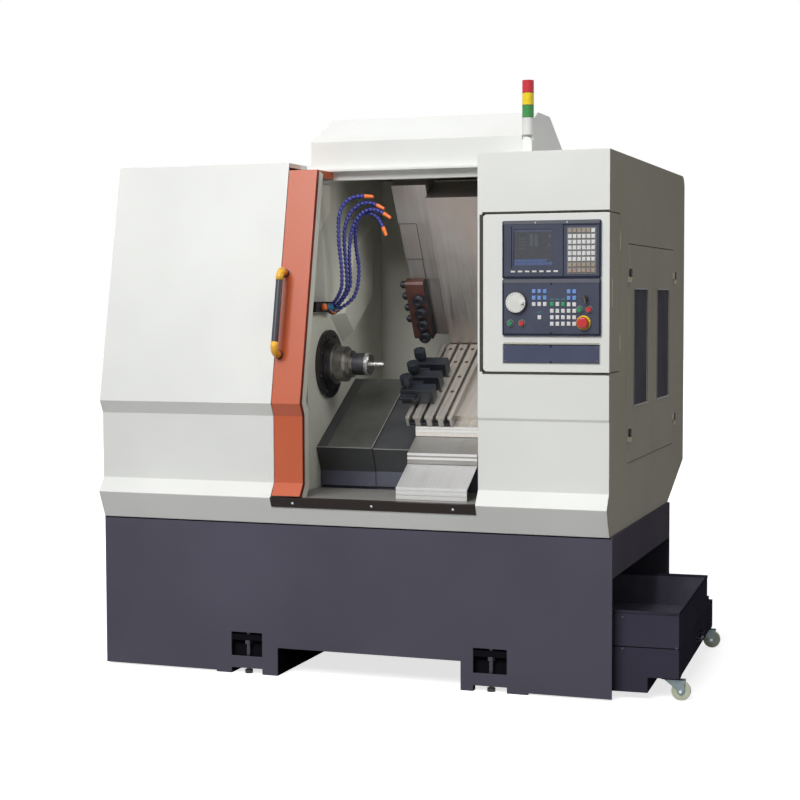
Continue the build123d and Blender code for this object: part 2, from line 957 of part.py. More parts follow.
# Door handle: a bent tube on two feet, standing off the sloped part of the stile
handle_x = stile_left_x + handle_inset
slope_way = Vector(crown[0] - brow[0], crown[1] - brow[1]).normalized()
slope_out = Vector(-slope_way.Y, slope_way.X)
handle_low = Vector(*between(brow, crown, handle_low_share))
handle_ends = (handle_low, handle_low + slope_way * handle_length)
with BuildPart() as door_handle:
    with BuildLine(Plane.YZ.offset(handle_x)) as handle_path:
        grip_ends = [end + slope_out * handle_reach for end in handle_ends]
        bends = (handle_ends[0], *grip_ends, handle_ends[1])
        FilletPolyline(*[(bend.X, bend.Y) for bend in bends], radius=handle_bend)
    with BuildSketch(Plane(handle_path.line @ 0, z_dir=handle_path.line % 0)):
        Circle(handle_radius)
    sweep()
    for end in handle_ends:
        foot_plane = Plane(
            origin=(handle_x, end.X, end.Y), x_dir=(1, 0, 0), z_dir=(0, slope_out.X, slope_out.Y)
        )
        with BuildSketch(foot_plane):
            Circle(handle_foot_radius)
        extrude(amount=handle_foot_height)
save(door_handle, "door_handle")

# Dark strip along the edge of the skirt, under the door
with BuildPart() as sill_strip:
    strip_foot = at_height(skirt_foot, ledge_edge, skirt_top_z - strip_height)
    strip_line = [strip_foot, ledge_edge, (at_y(strip_lip - ledge_out), skirt_top_z)]
    prism_x(folded(strip_line[::-1], strip_thickness), cover_x, pillar_x)
save(sill_strip, "sill_strip")

# Headstock wall with its bevelled bulge and raised plate, and the liner at the back of the work space
wall_in_x = at_x(wall_x)
notch_y = at_y(hood_front + hood_lip + panel_gap)
wall_points = [
    (at_y(wall_front), skirt_top_z),
    (at_y(wall_front), wall_shoulder_z),
    (notch_y, wall_shoulder_z),
    (notch_y, liner_top_z),
    (at_y(wall_back), liner_top_z),
    (at_y(wall_back), skirt_top_z),
]
bulge_z = base_height + bulge_rise
bulge_points = [
    (at_y(bulge_y) + bulge_width * across, bulge_z + bulge_height * up) for across, up in bulge_shares
]
flared_points = offset_line([bulge_points[-1]] + bulge_points + [bulge_points[0]], -bulge_flare)[1:-1]
plate_y = at_y(wall_front) - raised_plate_lead
plate_foot_z = wall_shoulder_z - raised_plate_height
plate_points = [
    (plate_y + raised_plate_width * across, plate_foot_z + raised_plate_height * up)
    for across, up in raised_plate_shares
]
with BuildPart() as headstock_wall:
    prism_x(wall_points, wall_in_x - wall_thickness, wall_in_x)
    block(
        (wall_in_x, pillar_x),
        (at_y(wall_back) - wall_thickness, at_y(wall_back)),
        (skirt_top_z, liner_top_z),
    )
    for outline, x in ((flared_points, wall_in_x), (bulge_points, wall_in_x + bulge_out)):
        with BuildSketch(Plane.YZ.offset(x)):
            with BuildLine():
                Polyline(*outline, close=True)
            make_face()
    loft(ruled=True)
    prism_x(plate_points, wall_in_x - wall_thickness, wall_in_x + raised_plate_out)
    round_x(
        at_y(spindle_y),
        spindle_z,
        shaft_radius + turn_gap,
        wall_in_x - wall_thickness - overrun,
        wall_in_x + overrun,
        mode=Mode.SUBTRACT,
    )
save(headstock_wall, "headstock_wall")

# Slant bed with two guide rails for the saddle
with BuildPart() as bed:
    bed_front = slant_point(0, bed_front_s, bed_top_t)
    bed_back = slant_point(0, bed_back_s, bed_top_t)
    bed_points = [
        (bed_front.Y, base_height),
        (bed_front.Y, bed_front.Z),
        (bed_back.Y, bed_back.Z),
        (at_y(bed_rear_y), bed_back.Z),
        (at_y(bed_rear_y), base_height),
    ]
    prism_x(bed_points, wall_in_x, pillar_x)
    for rail_s in (guide_front_s, guide_back_s):
        slant_block(
            (wall_in_x, pillar_x),
            (rail_s - guide_width / 2, rail_s + guide_width / 2),
            (bed_top_t, bed_top_t + guide_height),
        )
save(bed, "bed")

# Telescopic way cover: a fixed leaf at the headstock and a leaf that travels with the saddle
cover_front = slant_point(0, way_cover_front_s, way_cover_t)
cover_back = slant_point(0, way_cover_back_s, way_cover_t)
way_line = [
    (at_y(way_cover_drop_y), base_height + way_cover_low_rise),
    (at_y(way_cover_drop_y), base_height + way_cover_drop_rise),
    (cover_front.Y, cover_front.Z),
    (cover_back.Y, cover_back.Z),
]
with BuildPart() as way_cover_fixed:
    prism_x(folded(way_line, way_cover_sheet), wall_in_x, wall_in_x + way_cover_length)
save(way_cover_fixed, "way_cover_fixed")

with BuildPart() as way_cover_leaf:
    leaf_line = offset_line(way_line, way_leaf_sink)
    leaf_start = wall_in_x + way_cover_length - way_leaf_overlap
    prism_x(folded(leaf_line, way_cover_sheet), leaf_start, at_x(saddle_x))
save(way_cover_leaf, "way_cover_leaf")


def lipped_plate(front_s, back_s, top_t, lip, x_span):
    """Sheet that lies along the slant and turns straight down at its front edge."""
    drop = (front_s - lip * sin(radians(slant)), top_t - lip * cos(radians(slant)))
    points = [drop, (front_s, top_t), (back_s, top_t)]
    prism_x(folded(points, plate_sheet), *x_span, plane=slant_plane)


# Saddle on the bed's rails, with the fixed apron plate in front of it
saddle_span = (at_x(saddle_x), at_x(saddle_x + saddle_width))
saddle_bottom_t = bed_top_t + guide_height + slide_gap
with BuildPart() as saddle:
    slant_block(saddle_span, (saddle_front_s, saddle_back_s), (saddle_bottom_t, saddle_top_t))
    for rail_s in (guide_front_s, guide_back_s):
        for side in (-1, 1):
            edge = rail_s + side * (guide_width / 2 + guide_play + guide_width / 4)
            slant_block(
                saddle_span,
                (edge - guide_width / 4, edge + guide_width / 4),
                (bed_top_t + guide_height / 2, saddle_bottom_t),
            )
    lipped_plate(apron_front_s, apron_back_s, saddle_top_t + plate_sheet, apron_lip, saddle_span)
save(saddle, "saddle")

# Middle plate of the cross-slide cover
lip_play = plate_sheet * sin(radians(slant)) + slide_gap
middle_lip = (middle_t - saddle_top_t - lip_play) / cos(radians(slant))
with BuildPart() as cover_middle:
    lipped_plate(middle_front_s, middle_back_s, middle_t + plate_sheet, middle_lip, saddle_span)
save(cover_middle, "cover_middle")

# Cross slide: the slotted table, its guide on the saddle, and the front cover plate
table_bottom_t = table_t - table_thickness
upper_lip = (table_bottom_t - middle_t - plate_sheet - lip_play) / cos(radians(slant))
with BuildPart() as cross_table:
    slant_block(saddle_span, (table_front_s, table_back_s), (table_bottom_t, slide_t))
    slant_block(
        (at_x(table_x), at_x(table_x + table_width)),
        (table_front_s, slot_back_s),
        (table_t - table_plate, table_t),
    )
    slant_block(
        (saddle_span[0] + cross_guide_inset, saddle_span[1] - cross_guide_inset),
        (cross_guide_front_s, cross_guide_back_s),
        (saddle_top_t + slide_gap, table_bottom_t),
    )
    slot_pitch = table_width / slot_count
    for slot in range(slot_count):
        slot_x = at_x(table_x) + slot_pitch / 2 + slot_pitch * slot
        slant_block(
            (slot_x - slot_width / 2, slot_x + slot_width / 2),
            (table_front_s - overrun, slot_back_s + overrun),
            (table_t - slot_depth, table_t + overrun),
            mode=Mode.SUBTRACT,
        )
        slant_block(
            (slot_x - slot_foot_width / 2, slot_x + slot_foot_width / 2),
            (table_front_s - overrun, slot_back_s + overrun),
            (table_t - slot_depth, table_t - slot_depth + slot_foot_depth),
            mode=Mode.SUBTRACT,
        )
    lipped_plate(upper_front_s, upper_back_s, table_bottom_t, upper_lip, saddle_span)
save(cross_table, "cross_table")

# Step from one leaf of the milling slide's cover to the next
leaf_pitch = leaf_sheet + slide_gap

# Column on the table's rear, with the arm that carries the milling slide and the top cover leaf
arm_span = (at_x(arm_x), saddle_span[0])
with BuildPart() as column:
    slant_block(saddle_span, (column_front_s, table_back_s), (slide_t, column_top_t))
    slant_block(arm_span, (arm_front_s, table_back_s), (arm_bottom_t, arm_top_t))
    slant_block(arm_span, (leaf_front_s, leaf_front_s + leaf_sheet), (upper_leaf_t, arm_top_t))
    slant_block(arm_span, (leaf_front_s, arm_front_s), (arm_top_t - leaf_sheet, arm_top_t))
save(column, "column")

with BuildPart() as head_cover_middle:
    middle_s = leaf_front_s + leaf_pitch
    slant_block(
        (arm_span[0] + leaf_inset, arm_span[1] - leaf_inset),
        (middle_s, middle_s + leaf_sheet),
        (middle_leaf_t, middle_leaf_top_t),
    )
save(head_cover_middle, "head_cover_middle")

with BuildPart() as head_cover_lower:
    lower_s = leaf_front_s + leaf_pitch + leaf_pitch
    slant_block(
        (arm_span[0] + leaf_inset + leaf_inset, arm_span[1] - leaf_inset - leaf_inset),
        (lower_s, lower_s + leaf_sheet),
        (head_top_t, lower_leaf_top_t),
    )
save(head_cover_lower, "head_cover_lower")

# Power head: a bevelled block with bores for the driven tools and sleeves on its front
head_span = (at_x(head_x), at_x(head_x + head_width))
tool_ts = [tool_first_t + tool_pitch * step for step in range(tool_count)]
with BuildPart() as power_head:
    slant_block(head_span, (head_front_s, arm_front_s - slide_gap), (head_bottom_t, head_top_t))
    chamfer(power_head.edges().filter_by(Axis.X).group_by(SortBy.LENGTH)[-1], head_bevel)
    for tool_t in tool_ts:
        with BuildSketch(slant_plane.offset(head_span[0] - overrun)):
            with Locations((tool_s, tool_t)):
                Circle(tool_shank_radius + turn_gap)
        extrude(amount=overrun + tool_shank_length + slide_gap, mode=Mode.SUBTRACT)
    for step in range(tool_count):
        sleeve_plane = Plane(
            origin=slant_point(at_x(sleeve_x), head_front_s, sleeve_first_t + sleeve_pitch * step),
            x_dir=(1, 0, 0),
            z_dir=-slant_plane.x_dir,
        )
        with BuildSketch(sleeve_plane):
            Circle(sleeve_radius)
        extrude(amount=sleeve_length)
        with BuildSketch(sleeve_plane.offset(sleeve_length)):
            Circle(sleeve_bore_radius)
        extrude(amount=-sleeve_length, mode=Mode.SUBTRACT)
save(power_head, "power_head")

# Driven tools: stepped collet noses that turn in the power head
for number, tool_t in enumerate(tool_ts, start=1):
    with BuildPart() as driven_tool:
        nose_face = head_span[0] - turn_gap
        for radius, x_from, x_to in (
            (tool_shank_radius, nose_face, nose_face + tool_shank_length),
            (tool_nose_radius, nose_face - tool_nose_length, nose_face),
            (
                tool_tip_radius,
                nose_face - tool_nose_length - tool_tip_length,
                nose_face - tool_nose_length,
            ),
        ):
            with BuildSketch(slant_plane.offset(x_from)) as section:
                with Locations((tool_s, tool_t)):
                    Circle(radius)
            extrude(section.sketch, amount=x_to - x_from)
    save(driven_tool, f"driven_tool_{number}")

# Tool posts: clamp blocks on the table, each with a round cap and a square tool
with BuildPart() as tool_posts:
    post_span = (at_x(post_x), at_x(post_x + post_length))
    for step in range(post_count):
        post_s = post_first_s + post_pitch * step
        slant_block(
            post_span,
            (post_s - post_depth / 2, post_s + post_depth / 2),
            (table_t, table_t + post_height),
        )
        cap_x = post_span[0] + post_cap_radius
        cap_plane = Plane(
            origin=slant_point(cap_x, post_s, table_t + post_height),
            x_dir=(1, 0, 0),
            z_dir=slant_plane.y_dir,
        )
        with BuildSketch(cap_plane):
            Circle(post_neck_radius)
        extrude(amount=post_neck_height)
        with BuildSketch(cap_plane.offset(post_neck_height)):
            RegularPolygon(post_cap_radius, 8)
        extrude(amount=post_cap_height)
        slant_block(
            (post_span[0], post_span[0] + post_length / 2),
            (post_s - post_depth / 2 - post_tool_reach, post_s - post_depth / 2),
            (table_t + post_height / 2, table_t + post_height / 2 + post_tool),
        )
save(tool_posts, "tool_posts")

# Spindle: bearing cap on the wall, stepped spindle with its collet nose, and the bar it holds
cap_face_x = wall_in_x + cap_thickness
with BuildPart() as bearing_cap:
    round_x(at_y(spindle_y), spindle_z, cap_radius, wall_in_x, cap_face_x - cap_step)
    round_x(at_y(spindle_y), spindle_z, cap_step_radius, cap_face_x - cap_step, cap_face_x)
    round_x(
        at_y(spindle_y),
        spindle_z,
        shaft_radius + turn_gap,
        wall_in_x - overrun,
        cap_face_x + overrun,
        mode=Mode.SUBTRACT,
    )
save(bearing_cap, "bearing_cap")

collar_x = cap_face_x + turn_gap
ring_x = collar_x + collar_length
neck_x = ring_x + ring_length
nose_x = neck_x + neck_length
nose_end_x = nose_x + nose_length
with BuildPart() as spindle:
    with BuildSketch(Plane.XY.offset(spindle_z)):
        with BuildLine():
            axis_y = at_y(spindle_y)
            Polyline(
                (wall_in_x - shaft_tail, axis_y),
                (wall_in_x - shaft_tail, axis_y - shaft_radius),
                (collar_x, axis_y - shaft_radius),
                (collar_x, axis_y - collar_radius),
                (ring_x, axis_y - collar_radius),
                (ring_x, axis_y - ring_radius),
                (neck_x, axis_y - ring_radius),
                (neck_x, axis_y - neck_radius),
                (nose_x, axis_y - neck_radius),
                (nose_x, axis_y - nose_radius + nose_groove),
                (nose_x + nose_groove, axis_y - nose_radius + nose_groove),
                (nose_x + nose_groove, axis_y - nose_radius),
                (nose_end_x - nose_bevel, axis_y - nose_radius),
                (nose_end_x, axis_y - nose_radius + nose_bevel),
                (nose_end_x, axis_y - bar_radius),
                (nose_end_x - bar_grip, axis_y - bar_radius),
                (nose_end_x - bar_grip, axis_y),
                close=True,
            )
        make_face()
    revolve(axis=Axis((0, at_y(spindle_y), spindle_z), (1, 0, 0)))
save(spindle, "spindle")

with BuildPart() as workpiece:
    round_x(at_y(spindle_y), spindle_z, bar_radius, nose_end_x - bar_grip, nose_end_x + bar_out)
save(workpiece, "workpiece")

# Operator panel: a box door that closes the pillar's front corner
panel_face_y = at_y(-pillar_out)
unit_x = panel_left_x + unit_in
unit_spans = (
    (display_z, display_z + display_height),
    (operator_z, operator_z + operator_height),
)
with BuildPart() as panel_box:
    block(
        (panel_left_x, right_x),
        (panel_face_y, panel_face_y + panel_depth),
        (panel_bottom_z, panel_top_z),
    )
    fillet(panel_box.edges().filter_by(Axis.Y).group_by(Axis.X)[0], panel_corner)
    offset(
        amount=-sheet,
        openings=panel_box.faces().sort_by(Axis.Y)[-1],
        kind=Kind.INTERSECTION,
    )
    for low, high in unit_spans:
        block(
            (unit_x + unit_flange, unit_x + unit_width - unit_flange),
            (panel_face_y - overrun, panel_face_y + sheet + overrun),
            (low + unit_flange, high - unit_flange),
            mode=Mode.SUBTRACT,
        )
    block(
        (right_x, right_x + side_pull_out),
        (at_y(side_pull_y), at_y(side_pull_y) + side_pull_width),
        (panel_bottom_z + side_pull_up, panel_bottom_z + side_pull_up + side_pull_length),
    )
save(panel_box, "panel_box")

unit_face_y = panel_face_y - unit_proud


def unit_body(low, high):
    """Bezel with rounded corners that laps the panel, and the case behind it."""
    with BuildSketch(Plane.XZ.offset(-panel_face_y)) as bezel:
        with Locations((unit_x + unit_width / 2, (low + high) / 2)):
            RectangleRounded(unit_width, high - low, unit_corner)
    extrude(bezel.sketch, amount=unit_proud)
    block(
        (unit_x + unit_flange + turn_gap, unit_x + unit_width - unit_flange - turn_gap),
        (panel_face_y, panel_face_y + unit_depth),
        (low + unit_flange + turn_gap, high - unit_flange - turn_gap),
    )


def key_block(counts, corner, pitches, size):
    """Grid of keys that stand on a unit's face, from its lower left corner."""
    middle = [place + count * pitch / 2 for place, count, pitch in zip(corner, counts, pitches)]
    with BuildSketch(Plane.XZ.offset(-unit_face_y)) as keys:
        with Locations(tuple(middle)):
            with GridLocations(*pitches, *counts):
                Rectangle(*size)
    extrude(keys.sketch, amount=key_height)


with BuildPart() as display_unit:
    unit_body(*unit_spans[0])
    block(
        (unit_x + screen_in, unit_x + screen_in + screen_width),
        (unit_face_y - overrun, unit_face_y + screen_sink),
        (display_z + screen_up, display_z + screen_up + screen_height),
        mode=Mode.SUBTRACT,
    )
    key_block(
        (keypad_columns_count, keypad_rows_count),
        (unit_x + keypad_in, display_z + keypad_up),
        (key_pitch, key_row_pitch),
        (key_size, key_size),
    )
    key_block(
        (soft_key_count, 1),
        (unit_x + soft_key_in, display_z + soft_key_up),
        (soft_key_pitch, soft_key_height),
        (soft_key_width, soft_key_height),
    )
save(display_unit, "display_unit")

buttons = {
    "button_start": (unit_x + low_green_in, operator_z + low_button_up),
    "button_halt": (unit_x + low_red_in, operator_z + low_button_up),
    "button_power_on": (unit_x + high_green_in, operator_z + high_button_up),
    "button_power_off": (unit_x + high_red_in, operator_z + high_button_up),
}
stop_place = (unit_x + stop_in, operator_z + stop_up)
selector_place = (unit_x + selector_in, operator_z + selector_up)
dial_place = (unit_x + dial_in, operator_z + dial_up)
key_blocks = (
    (left_block_counts, left_block_in, upper_block_up),
    (green_block_counts, middle_block_in, upper_block_up),
    (white_block_counts, middle_block_in, lower_block_up),
    (right_block_counts, right_block_in, lower_block_up),
    (single_block_counts, single_key_in, single_key_up),
)
bore_y = (unit_face_y - stop_ring_height - overrun, unit_face_y + unit_proud + button_depth)
with BuildPart() as operator_unit:
    unit_body(*unit_spans[1])
    for counts, key_in, key_up in key_blocks:
        key_block(
            counts,
            (unit_x + key_in, operator_z + key_up),
            (block_key_pitch, block_row_pitch),
            (key_size, key_size),
        )
    collar_face = unit_face_y - button_collar_height
    for place in buttons.values():
        round_y(*place, button_collar_radius, unit_face_y, collar_face)
    round_y(*stop_place, stop_ring_radius, unit_face_y, unit_face_y - stop_ring_height)
    round_y(*selector_place, selector_collar_radius, unit_face_y, collar_face)
    for place in buttons.values():
        round_y(*place, button_radius + turn_gap, *bore_y, mode=Mode.SUBTRACT)
    round_y(*stop_place, stop_stem_radius + turn_gap, *bore_y, mode=Mode.SUBTRACT)
    round_y(*selector_place, selector_radius + turn_gap, *bore_y, mode=Mode.SUBTRACT)
    round_y(*dial_place, dial_shaft_radius + turn_gap, *bore_y, mode=Mode.SUBTRACT)
save(operator_unit, "operator_unit")

with BuildPart() as blank_plate:
    block(
        (panel_left_x + blank_in, panel_left_x + blank_in + blank_width),
        (panel_face_y - blank_thickness, panel_face_y),
        (panel_bottom_z + blank_up, panel_bottom_z + blank_up + blank_height),
    )
save(blank_plate, "blank_plate")

# Controls that move: handwheel, push buttons, stop button and selector
with BuildPart() as handwheel:
    dial_back = unit_face_y - turn_gap
    round_y(*dial_place, dial_shaft_radius, dial_back, unit_face_y + dial_shaft_length)
    round_y(*dial_place, dial_radius, dial_back - dial_height, dial_back)
    round_y(
        dial_place[0] + dial_radius * dial_knob_share,
        dial_place[1],
        dial_knob_radius,
        dial_back - dial_height - dial_knob_height,
        dial_back - dial_height,
    )
save(handwheel, "handwheel")

button_back = unit_face_y + unit_proud + button_depth - button_travel - slide_gap
for name, place in buttons.items():
    with BuildPart() as push_button:
        round_y(*place, button_radius, unit_face_y - button_height, button_back)
    save(push_button, name)

with BuildPart() as stop_button:
    ring_face = unit_face_y - stop_ring_height
    mushroom_back = ring_face - stop_travel - slide_gap
    stem_back = button_back - stop_travel + button_travel
    round_y(*stop_place, stop_stem_radius, mushroom_back, stem_back)
    round_y(*stop_place, stop_radius, mushroom_back - stop_height, mushroom_back)
    fillet(stop_button.faces().sort_by(Axis.Y)[0].edges(), stop_height / 2)
save(stop_button, "stop_button")

with BuildPart() as selector:
    selector_face = unit_face_y - selector_height
    round_y(*selector_place, selector_radius, selector_face, button_back)
    block(
        (selector_place[0] - selector_blade / 2, selector_place[0] + selector_blade / 2),
        (selector_face - selector_blade_height, selector_face),
        (selector_place[1] - selector_radius, selector_place[1] + selector_radius / 2),
    )
save(selector, "selector")

# Signal tower: a lug on the folding pivot, a round body and three lenses with grooves between them
with BuildPart() as signal_tower:
    lug_y = (at_y(tower_y) + slide_gap, at_y(tower_y) + tower_lug_thickness)
    round_y(tower_x, tower_pivot_z, tower_lug_radius, *lug_y)
    block(
        (tower_x - tower_lug_radius, tower_x + tower_lug_radius),
        lug_y,
        (tower_pivot_z, tower_bottom_z),
    )
    round_y(tower_x, tower_pivot_z, tower_pin_radius + turn_gap, *lug_y, mode=Mode.SUBTRACT)
    tower_mid_y = sum(lug_y) / 2 - tower_lug_thickness / 2
    round_z(tower_x, tower_mid_y, tower_radius, tower_bottom_z, tower_top_z)
    for step in range(lens_count):
        groove_z = tower_green_z + lens_height * step
        with BuildSketch(Plane.XY.offset(groove_z - tower_band_groove)):
            with Locations((tower_x, tower_mid_y)):
                Circle(tower_radius)
                Circle(tower_radius - tower_band_groove, mode=Mode.SUBTRACT)
        extrude(amount=tower_band_groove, mode=Mode.SUBTRACT)
save(signal_tower, "signal_tower")

# Cabinet doors: two flush leaves on outside hinges, each with a sunk dark window
leaf_mid_y = at_y((cabinet_front + cabinet_back) / 2)
for name, leaf_y, hinge_side in (
    ("cabinet_door_front", (at_y(cabinet_front), leaf_mid_y - panel_gap / 2), -1),
    ("cabinet_door_rear", (leaf_mid_y + panel_gap / 2, at_y(cabinet_back)), 1),
):
    with BuildPart() as cabinet_door:
        block(
            (right_x - leaf_thickness, right_x + leaf_proud),
            leaf_y,
            (cabinet_bottom_z, cabinet_top_z),
        )
        middle_y = sum(leaf_y) / 2
        with BuildSketch(Plane.YZ.offset(right_x + leaf_proud)):
            with Locations((middle_y, cabinet_bottom_z + window_up + window_height / 2)):
                RectangleRounded(window_width, window_height, window_corner)
        extrude(amount=-window_sink, mode=Mode.SUBTRACT)
        hinge_y = leaf_y[0] if hinge_side < 0 else leaf_y[1]
        for hinge_z in cabinet_hinge_zs:
            knuckle_z = (hinge_z + knuckle_length + slide_gap, hinge_z + cabinet_hinge_length)
            round_z(hinge_x, hinge_y, cabinet_hinge_radius, *knuckle_z)
            block(
                (right_x, hinge_x),
                sorted((hinge_y, hinge_y - hinge_side * cabinet_hinge_leaf)),
                knuckle_z,
            )
    save(cabinet_door, name)

# Chip cart: a coolant tank on casters with a chip tray on top, standing a little askew in the bay
cart_way = Vector(cos(radians(cart_yaw)), sin(radians(cart_yaw)), 0)
cart_back = Vector(-cart_way.Y, cart_way.X, 0)
cart_corner = Vector(base_right_x + cart_out, at_y(cart_front), 0)
cart_floor = Plane(origin=cart_corner, x_dir=cart_way, z_dir=(0, 0, 1))


def cart_side(back):
    """Upright plane along the cart, at a distance behind its front."""
    return Plane(origin=cart_corner + cart_back * back, x_dir=cart_way, z_dir=-cart_back)


def cart_block(along, back, z_span, mode=Mode.ADD):
    """Rectangular block in line with the cart."""
    with BuildSketch(cart_floor.offset(z_span[0])) as plan:
        with Locations((sum(along) / 2, sum(back) / 2)):
            Rectangle(along[1] - along[0], back[1] - back[0])
    extrude(plan.sketch, amount=z_span[1] - z_span[0], mode=mode)


def cart_round(along, back_span, z, radius, mode=Mode.ADD):
    """Cylinder across the cart."""
    with BuildSketch(cart_side(back_span[1])) as section:
        with Locations((along, z)):
            Circle(radius)
    extrude(section.sketch, amount=back_span[1] - back_span[0], mode=mode)


tank_profile = [
    (-cart_length, recess_z),
    (-cart_length + recess_length, recess_z),
    (-cart_length + recess_length, tank_z),
    (-recess_length, tank_z),
    (-recess_length, recess_z),
    (0, recess_z),
    (0, tank_top_z),
    (-cart_length, tank_top_z),
]
# Places of the casters along and across the cart
wheel_half = wheel_width / 2
plate_z = recess_z - caster_plate
caster_backs = (wheel_inset + wheel_half, cart_depth - wheel_inset - wheel_half)
swivel_along = -wheel_inset
fixed_along = -cart_length + recess_length / 2
caster_places = [(along, back) for along in (swivel_along, fixed_along) for back in caster_backs]


def fork_body(swivel, axle, back, top_z):
    """Pressed fork with two legs and its axle."""
    leg = [
        (swivel - fork_half, top_z),
        (swivel + fork_half, top_z),
        (axle + axle_radius + fork_sheet, wheel_radius + axle_radius),
        (axle + axle_radius, wheel_radius - axle_radius - fork_sheet),
        (axle - axle_radius, wheel_radius - axle_radius - fork_sheet),
        (axle - axle_radius - fork_sheet, wheel_radius + axle_radius),
    ]
    reach = wheel_half + fork_gap + fork_sheet
    for cheek_back in (back + reach, back - wheel_half - fork_gap):
        with BuildSketch(cart_side(cheek_back)) as cheek:
            with BuildLine():
                Polyline(*leg, close=True)
            make_face()
        extrude(cheek.sketch, amount=fork_sheet)
    fork_span = (back - reach, back + reach)
    cart_block((swivel - fork_half, swivel + fork_half), fork_span, (top_z - fork_sheet, top_z))
    cart_round(axle, fork_span, wheel_radius, axle_radius)


with BuildPart() as cart_tank:
    with BuildSketch(cart_side(cart_depth)):
        with BuildLine():
            Polyline(*tank_profile, close=True)
        make_face()
    extrude(amount=cart_depth)
    with BuildSketch(cart_side(cart_depth - tank_wall)):
        with BuildLine():
            inner_left = -cart_length + tank_wall
            Polyline(
                (inner_left, recess_z + tank_wall),
                (inner_left + recess_length, recess_z + tank_wall),
                (inner_left + recess_length, tank_z + tank_wall),
                (-recess_length - tank_wall, tank_z + tank_wall),
                (-recess_length - tank_wall, recess_z + tank_wall),
                (-tank_wall, recess_z + tank_wall),
                (-tank_wall, tank_top_z - tank_wall),
                (inner_left, tank_top_z - tank_wall),
                close=True,
            )
        make_face()
    extrude(amount=cart_depth - tank_wall - tank_wall, mode=Mode.SUBTRACT)
    pull_back = cart_depth * pull_share
    with BuildLine(cart_floor.offset(pull_z)) as pull_path:
        FilletPolyline(
            (-overrun / 2, pull_back - pull_width / 2),
            (pull_out, pull_back - pull_width / 2),
            (pull_out, pull_back + pull_width / 2),
            (-overrun / 2, pull_back + pull_width / 2),
            radius=pull_radius + pull_radius,
        )
    with BuildSketch(Plane(pull_path.line @ 0, z_dir=pull_path.line % 0)):
        Circle(pull_radius)
    sweep()
    for along, back in caster_places:
        cart_block(
            (along - caster_plate_half, along + wheel_inset),
            (back - caster_plate_half, back + caster_plate_half),
            (plate_z, recess_z),
        )
    for back in caster_backs:
        with BuildSketch(cart_floor.offset(plate_z)):
            with Locations((swivel_along, back)):
                Circle(kingpin_radius + turn_gap)
        extrude(amount=caster_plate, mode=Mode.SUBTRACT)
    for back in caster_backs:
        fork_body(fixed_along, fixed_along, back, plate_z)
save(cart_tank, "cart_tank")

with BuildPart() as chip_tray:
    cart_block((-cart_length, 0), (0, tray_depth), (tank_top_z, tray_top_z))
    cart_block(
        (-cart_length + tray_wall, -tray_wall),
        (tray_wall, tray_depth - tray_wall),
        (tank_top_z + tray_wall, tray_top_z + overrun),
        mode=Mode.SUBTRACT,
    )
save(chip_tray, "chip_tray")

with BuildPart() as pump_cover:
    cart_block(
        (-cart_length + pump_inset, -pump_inset),
        (tray_depth + pump_gap, cart_depth - pump_inset),
        (tank_top_z, tank_top_z + pump_height),
    )
    fillet(pump_cover.edges().group_by(Axis.Z)[-1], pump_edge)
save(pump_cover, "pump_cover")

# Casters: forks that swivel under the tank's right end, and a wheel on each axle
for side, back in zip(("front", "rear"), caster_backs):
    with BuildPart() as caster_fork:
        fork_body(swivel_along, swivel_along + wheel_trail, back, plate_z - slide_gap)
        with BuildSketch(cart_floor.offset(plate_z - slide_gap)):
            with Locations((swivel_along, back)):
                Circle(kingpin_radius)
        extrude(amount=caster_plate)
    save(caster_fork, f"caster_fork_{side}")

    for end, axle in (("right", swivel_along + wheel_trail), ("left", fixed_along)):
        with BuildPart() as caster_wheel:
            wheel_span = (back - wheel_half, back + wheel_half)
            cart_round(axle, wheel_span, wheel_radius, wheel_radius)
            fillet(caster_wheel.edges().filter_by(GeomType.CIRCLE), tread_round)
            cart_round(axle, wheel_span, wheel_radius, axle_radius + hub_play, mode=Mode.SUBTRACT)
        save(caster_wheel, f"caster_wheel_{side}_{end}")

# Coolant hoses: jointed plastic hoses that rise from the manifold and arch over to their nozzles
routes = {
    name: [Vector(at_x(x), at_y(y), base_height + z) for x, y, z in points]
    for name, points in hose_routes.items()
}


def corner_radii(points):
    """Radius of each bend, from the shorter of the two runs that meet there."""
    radii = []
    for before, corner, after in zip(points, points[1:], points[2:]):
        come = corner - before
        leave = after - corner
        turn = acos(come.normalized().dot(leave.normalized()))
        radii.append(corner_share * min(come.length, leave.length) / tan(turn / 2))
    return radii


for name, points in routes.items():
    with BuildPart() as hose:
        with BuildLine() as hose_path:
            FilletPolyline(*points, radius=corner_radii(points))
        with BuildSketch(Plane(hose_path.line @ 0, z_dir=hose_path.line % 0)):
            Circle(hose_radius)
        sweep()
    save(hose, name)

with BuildPart() as hose_nozzles:
    for points in routes.values():
        nozzle_plane = Plane(points[-1], z_dir=points[-1] - points[-2])
        with BuildSketch(nozzle_plane):
            Circle(nozzle_radius)
        with BuildSketch(nozzle_plane.offset(nozzle_length)):
            Circle(nozzle_tip_radius)
        loft()
save(hose_nozzles, "hose_nozzles")

# Coolant manifold on the headstock wall, with an outlet along the first run of each hose
with BuildPart() as coolant_manifold:
    block(
        (wall_in_x, wall_in_x + manifold_out),
        (at_y(manifold_y), at_y(manifold_y + manifold_length)),
        (manifold_z, manifold_z + manifold_height),
    )
    for points in routes.values():
        with BuildSketch(Plane(points[0], z_dir=points[0] - points[1])):
            Circle(port_radius)
        extrude(amount=port_length)
save(coolant_manifold, "coolant_manifold")
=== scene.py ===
import bmesh
import bpy
import math
from mathutils import Matrix, Vector


